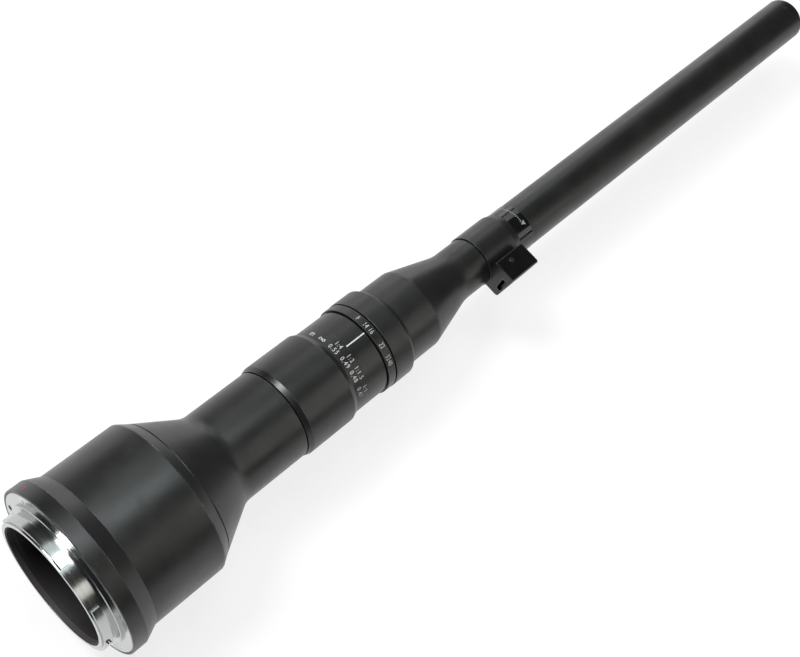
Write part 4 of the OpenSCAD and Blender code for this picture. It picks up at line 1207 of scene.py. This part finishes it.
@dataclass
class ApertureRing(Piecework):
    """Aperture ring with its row of figures."""

    bore: float = 15.65 * MM
    edge: float = 0.15 * MM
    figure_height: float = 2.1 * MM
    figure_place: float = 1.85 * MM
    stops: tuple[tuple[str, float], ...] = (
        ("F", -18.2),
        ("14", -5.7),
        ("16", 3.4),
        ("22", 23.6),
        ("32", 39.8),
        ("40", 47.1),
    )

    def build(self) -> None:
        """Turns the ring and paints its figures."""
        ends, r = span("aperture_ring"), outer("aperture_ring")
        corners = sleeve(ends, self.bore, r, self.edge, self.edge)
        self.turn("aperture_ring", Slot.RING, *corners, body=Body.APERTURE)
        painter = Lettering(r, height=self.figure_height, squeeze=0.7, spacing=1.06, thinning=0.012)
        middle = ends[0] + self.figure_place
        shapes = [painter.figures(text, angle, middle) for text, angle in self.stops]
        self.carry(painter.piece("aperture_figures", shapes), Body.APERTURE, WHITE_PAINT, Slot.RING)


@dataclass
class FrontBarrel(Piecework):
    """Front collar, and the barrel that tapers to the probe's neck."""

    barrel_bore: float = 15.62 * MM
    collar_length: float = 8.9 * MM
    collar_back_edge: float = 0.22 * MM
    collar_front_edge: float = 0.3 * MM
    collar_lip: float = 2.6 * MM
    lip_width: float = 0.15 * MM
    barrel_radius: float = 16.81 * MM
    barrel_length: float = 14.6 * MM
    barrel_round: float = 4.0 * MM
    seat_length: float = 13.0 * MM
    barrel_inner: float = 15.11 * MM
    cone_length: float = 22.3 * MM
    neck_radius: float = 10.5 * MM
    neck_length: float = 13.0 * MM
    neck_round: float = 18.0 * MM
    neck_edge: float = 0.15 * MM
    spigot_radius: float = 8.98 * MM
    spigot_bore: float = 8.25 * MM
    bore_lead: float = 0.25

    def build(self) -> None:
        """Turns the front collar and the tapered barrel."""
        x0, x1 = span("front_collar")
        collar_r, lip_r = outer("front_collar"), self.barrel_radius + SEAT_GAP
        self.turn(
            "front_collar",
            Slot.RING,
            (x0, self.barrel_bore),
            (x0, collar_r, self.collar_back_edge),
            (x0 + self.collar_length, collar_r, self.collar_front_edge),
            (x1, lip_r + self.lip_width),
            (x1, lip_r),
            (x0 + self.collar_lip, lip_r),
            (x0 + self.collar_lip, self.barrel_bore),
        )
        start, end = span("taper_barrel")
        seat_end, cone = start + self.seat_length, x1 + self.barrel_length
        neck = cone + self.cone_length
        neck_end = neck + self.neck_length
        self.turn(
            "taper_barrel",
            Slot.SATIN,
            (start, self.barrel_bore),
            (start, self.barrel_radius),
            (cone, self.barrel_radius, self.barrel_round),
            (neck, self.neck_radius, self.neck_round),
            (neck_end, self.neck_radius, self.neck_edge),
            (neck_end, self.spigot_radius),
            (end, self.spigot_radius),
            (end, self.spigot_bore),
            (neck - self.cone_length * self.bore_lead, self.spigot_bore),
            (cone, self.barrel_inner),
            (seat_end, self.barrel_inner),
            (seat_end, self.barrel_bore),
        )


@dataclass
class LampSleeve(Piecework):
    """Sleeve that carries the lamp box, and the glossy marking band in front of it."""

    bore: float = 9.82 * MM
    back_edge: float = 0.15 * MM
    seam_edge: float = 0.04 * MM
    taper_length: float = 3.0 * MM
    taper_round: float = 1.2 * MM
    mark_inset: float = 1.2 * MM
    mark_start: float = -58.0
    mark_end: float = 8.0
    line_width: float = 0.16 * MM
    ticks: int = 12
    tick_width: float = 0.2 * MM
    tick_length: float = 0.4 * MM
    long_tick: float = 0.7 * MM
    long_every: int = 3
    triangle_angle: float = 14.0
    triangle_length: float = 2.0 * MM
    triangle_width: float = 2.1 * MM
    half_strips: int = 3

    def build(self) -> None:
        """Turns the sleeve and the band, and paints the band's marks."""
        x0, x1 = span("lamp_sleeve")
        band, sleeve_r, band_r = span("marking_band"), outer("lamp_sleeve"), outer("marking_band")
        self.turn(
            "lamp_sleeve",
            Slot.SATIN,
            (x0, self.bore),
            (x0, sleeve_r, self.back_edge),
            (x1 - self.taper_length, sleeve_r, self.taper_round),
            (x1, band_r, self.seam_edge),
            (x1, self.bore),
        )
        self.turn("marking_band", Slot.GLOSS, *sleeve(band, self.bore, band_r, self.seam_edge, EDGE_BREAK))
        painter = Lettering(band_r)
        middle = sum(band) / 2 + self.mark_inset
        shapes = [painter.ring_line(middle, self.line_width, self.mark_start, self.mark_end)]
        shapes += self.triangle(painter, middle)
        for i in range(self.ticks + 1):
            angle = self.mark_start + (self.mark_end - self.mark_start) * i / self.ticks
            length = self.tick_length if i % self.long_every else self.long_tick
            shapes.append(painter.stroke(middle - length, middle, angle, self.tick_width))
        self.carry(painter.piece("band_marks", shapes), Body.BARREL, GREY_PAINT, Slot.GLOSS)

    def triangle(self, painter: Lettering, middle: float) -> list[Shape]:
        """Draws the triangle as strips side by side, so that it follows the band's curve.

        Args:
            painter: Lettering of the band.
            middle: Its middle along the axis.

        Returns:
            The strips.
        """
        half = math.degrees(self.triangle_width / 2 / painter.radius)
        tip, base = middle - self.triangle_length / 2, middle + self.triangle_length / 2
        sides = [i / self.half_strips - 1 for i in range(2 * self.half_strips + 1)]
        edges = [(tip + (base - tip) * abs(side), self.triangle_angle + half * side) for side in sides]
        strips = []
        for here, after in zip(edges, edges[1:]):
            corners = [here, (base, here[1]), (base, after[1]), after]
            strips.append(painter.plate([c for i, c in enumerate(corners) if c != corners[i - 1]]))
        return strips


@dataclass
class LampBox(Piecework):
    """Lamp box on the side of the sleeve, with its cover, button and supply socket."""

    draft: float = 7.0
    draft_side: float = -14.4 * MM
    draft_top: float = 11.4 * MM
    socket_side: float = -17.75 * MM
    socket_span: Point2 = (0.5 * MM, 8.7 * MM)
    socket_share: float = 0.5

    def build(self) -> None:
        """Drafts the box's outer side, and dresses the box and what it holds."""
        drafted = {"lamp_box": Slot.BOX, "supply_socket": Slot.SOCKET, "socket_tongue": Slot.TONGUE}
        for node, slot in drafted.items():
            self.carry(self.drafted(node), Body.BARREL, FINISHES[slot], slot, node)
        self.dress(Slot.GLOSS, "lamp_box_cover")
        self.dress(Slot.BUTTON, "lamp_button")
        self.dress(Slot.SOCKET, "lamp_switch")
        self.dress(Slot.BOARD, "supply_board")
        self.dress(Slot.SCREW, "box_screws")

    def drafted(self, node: str) -> bpy.types.Object:
        """Copies a node and leans its outer side inward, as the moulding's draft does.

        Args:
            node: Node that it replaces.

        Returns:
            The drafted piece.
        """
        slope = math.tan(math.radians(self.draft))
        bottom, top = self.socket_span
        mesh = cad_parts[node].data.copy()
        for vertex in mesh.vertices:
            y, z = vertex.co.y, vertex.co.z
            if y > self.draft_side:
                continue
            share = 1.0
            if y > self.socket_side and bottom < z < top:
                share = self.socket_share * (self.draft_side - y) / (self.draft_side - self.socket_side)
            vertex.co.y += share * slope * max(0.0, self.draft_top - z)
        return smooth_object(node + "_drafted", mesh)


@dataclass
class ProbeTube(Piecework):
    """Long tube, the nose ring, and the lamp ring round the front lens."""

    seat_radius: float = 9.8 * MM
    bore: float = 9.0 * MM
    seam_edge: float = 0.05 * MM
    nose_edge: float = 0.9 * MM
    nose_spigot: float = 8.98 * MM
    nose_bore: float = 8.59 * MM
    window_radius: float = 8.655 * MM
    window_edge: float = 0.08 * MM
    spigot_length: float = 1.6 * MM
    window_depth: float = 1.62 * MM

    def build(self) -> None:
        """Turns the tube and the nose ring, and dresses the lens and its lamps."""
        x0, x1 = span("probe_tube")
        seat_end, r = span("marking_band")[1] + SEAT_GAP, outer("probe_tube")
        self.turn(
            "probe_tube",
            Slot.SATIN,
            (x0, self.bore),
            (x0, self.seat_radius),
            (seat_end, self.seat_radius),
            (seat_end, r),
            (x1, r, self.seam_edge),
            (x1, self.bore),
        )
        nose, tip = span("nose_ring")
        seat, window = nose + self.spigot_length, tip - self.window_depth
        self.turn(
            "nose_ring",
            Slot.SATIN,
            (nose, self.nose_bore),
            (nose, self.nose_spigot),
            (seat, self.nose_spigot),
            (seat, r, self.seam_edge),
            (tip, r, self.nose_edge),
            (tip, self.window_radius, self.window_edge),
            (window, self.window_radius),
            (window, self.nose_bore),
        )
        self.dress(Slot.GLASS, "front_lens", "objective_lenses", "relay_lenses")
        self.dress(Slot.INNER_BLACK, "objective_cell", "relay_tube", "relay_spacers")
        self.dress(Slot.WINDOW, "lamp_window")
        self.dress(Slot.LAMP, "lamps")
        self.dress(Slot.BOARD, "lamp_board")
        self.dress(Slot.RIBBON, "lamp_ribbon")
        self.dress(Slot.SEAL, "nose_seal")


@dataclass
class Mechanism(Piecework):
    """Focus drive, iris and the lenses inside the barrel."""

    blade_count: int = 7

    def build(self) -> None:
        """Dresses the inner pieces."""
        self.dress(Slot.INNER_METAL, "main_barrel", "focus_carriage", "iris_base")
        self.dress(Slot.BRASS, "focus_cam_sleeve", "cam_followers", "iris_drive_ring")
        self.dress(Slot.INNER_BLACK, "rear_cell", "rear_retainer", "focus_retainer", "iris_retainer")
        self.dress(Slot.GLASS, "rear_lenses", "focus_lenses", "stop_lenses")
        self.dress(Slot.SCREW, "focus_key", "aperture_key")
        self.dress(Slot.BLADE, *(f"iris_blade_{i + 1}" for i in range(self.blade_count)))


@dataclass(frozen=True)
class SoftLamp:
    """Soft lamp on a dome round the lens: bearing from the axis, height in degrees, size and radiance."""

    name: str
    bearing: float
    height: float
    size: Point2
    radiance: float
    colour: Colour = (1.0, 1.0, 1.0)
    distance: float = 1.3
    aim: Point3 = (0.15, 0.0, 0.0)

    def build(self) -> None:
        """Places the lamp and points it at its aim."""
        light = bpy.data.lights.new(self.name, "AREA")
        light.shape = "RECTANGLE"
        light.size, light.size_y = self.size
        light.energy = self.radiance * math.pi * self.size[0] * self.size[1]
        light.color = self.colour
        lamp = add_object(self.name, light)
        bearing, height = math.radians(self.bearing), math.radians(self.height)
        across = math.cos(height)
        direction = Vector((across * math.cos(bearing), across * math.sin(bearing), math.sin(height)))
        lamp.location = Vector(self.aim) + direction * self.distance
        lamp.rotation_mode = "QUATERNION"
        lamp.rotation_quaternion = (-direction).to_track_quat("-Z", "Y")
        LOG.info("placed %s", self.name)


@dataclass
class Studio:
    """Pale floor, soft lamps, even surroundings and the camera."""

    floor_size: float = 14.0
    floor_gap: float = 0.05 * MM
    paper: Paper = Paper()
    horizon: Colour = (0.15, 0.15, 0.15)
    zenith: Colour = (0.03, 0.03, 0.03)
    horizon_rise: Point2 = (0.05, 0.16)
    lens_length: float = 58.62
    sensor: float = 36.0
    camera_place: Point3 = (-0.0864, -0.0763, 0.4286)
    camera_forward: Point3 = (0.48190, 0.14621, -0.86394)
    camera_up: Point3 = (0.53711, 0.72604, 0.42941)
    lamps: list[SoftLamp] = field(
        default_factory=lambda: [
            SoftLamp("overhead lamp", 72, 80, (0.5, 0.5), 5.2, COOL),
            SoftLamp("overhead side lamp", 86, 58, (0.8, 0.45), 0.9, COOL),
            SoftLamp("key lamp", 125, 57, (0.35, 0.35), 28.0),
            SoftLamp("near lamp", 297, 48, (0.8, 0.5), 1.4, WARM),
            SoftLamp("near low lamp", 300, 26, (0.7, 0.4), 1.75, WARM),
            SoftLamp("front lamp", 52, 33, (0.7, 0.5), 1.55),
            SoftLamp("front low lamp", 50, 5, (0.8, 0.5), 1.9),
            SoftLamp("near edge lamp", 318, 3, (0.6, 0.3), 1.2),
        ]
    )

    def build(self) -> None:
        """Builds the floor, the lamps, the surroundings and the camera."""
        self.floor()
        for lamp in self.lamps:
            lamp.build()
        self.surroundings()
        self.camera()
        bpy.context.scene.view_settings.view_transform = "Standard"

    def floor(self) -> None:
        """Lays the floor just under the collar."""
        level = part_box("mount_collar")[0].z - self.floor_gap
        half = self.floor_size / 2
        corners = [(-half, -half, level), (half, -half, level), (half, half, level), (-half, half, level)]
        mesh = bpy.data.meshes.new("floor")
        mesh.from_pydata(corners, [], [(0, 1, 2, 3)])
        mesh.materials.append(self.paper.material())
        plane = add_object("floor", mesh)

    def surroundings(self) -> None:
        """Fills the world: grey up to the horizon and dark above it."""
        world = bpy.data.worlds.new("studio surroundings")
        bpy.context.scene.world = world
        graph = open_graph(world, "Background")
        height = graph.between(graph.part(graph.given["Generated"], 2), *self.horizon_rise)
        graph.give(Color=graph.blend(height, self.horizon, self.zenith))

    def camera(self) -> None:
        """Sets the camera where the photograph was taken from."""
        data = bpy.data.cameras.new("camera")
        data.lens, data.sensor_width = self.lens_length, self.sensor
        camera = add_object("camera", data)
        back = -Vector(self.camera_forward).normalized()
        right = Vector(self.camera_up).cross(back).normalized()
        turn = Matrix((right, back.cross(right), back)).transposed().to_4x4()
        camera.matrix_world = Matrix.Translation(self.camera_place) @ turn
        bpy.context.scene.camera = camera


def main() -> None:
    """Builds the lens from the mount to the tip, then the studio round it."""
    logging.basicConfig(level=logging.INFO, format="%(name)s: %(message)s")
    assemblies = (
        Mount(),
        RearHousing(),
        FocusRing(),
        IndexRing(),
        ApertureRing(),
        FrontBarrel(),
        LampSleeve(),
        LampBox(),
        ProbeTube(),
        Mechanism(),
    )
    for assembly in assemblies:
        assembly.build()
        LOG.info("built %s", type(assembly).__name__)
    Studio().build()


if __name__ == "__main__":
    main()
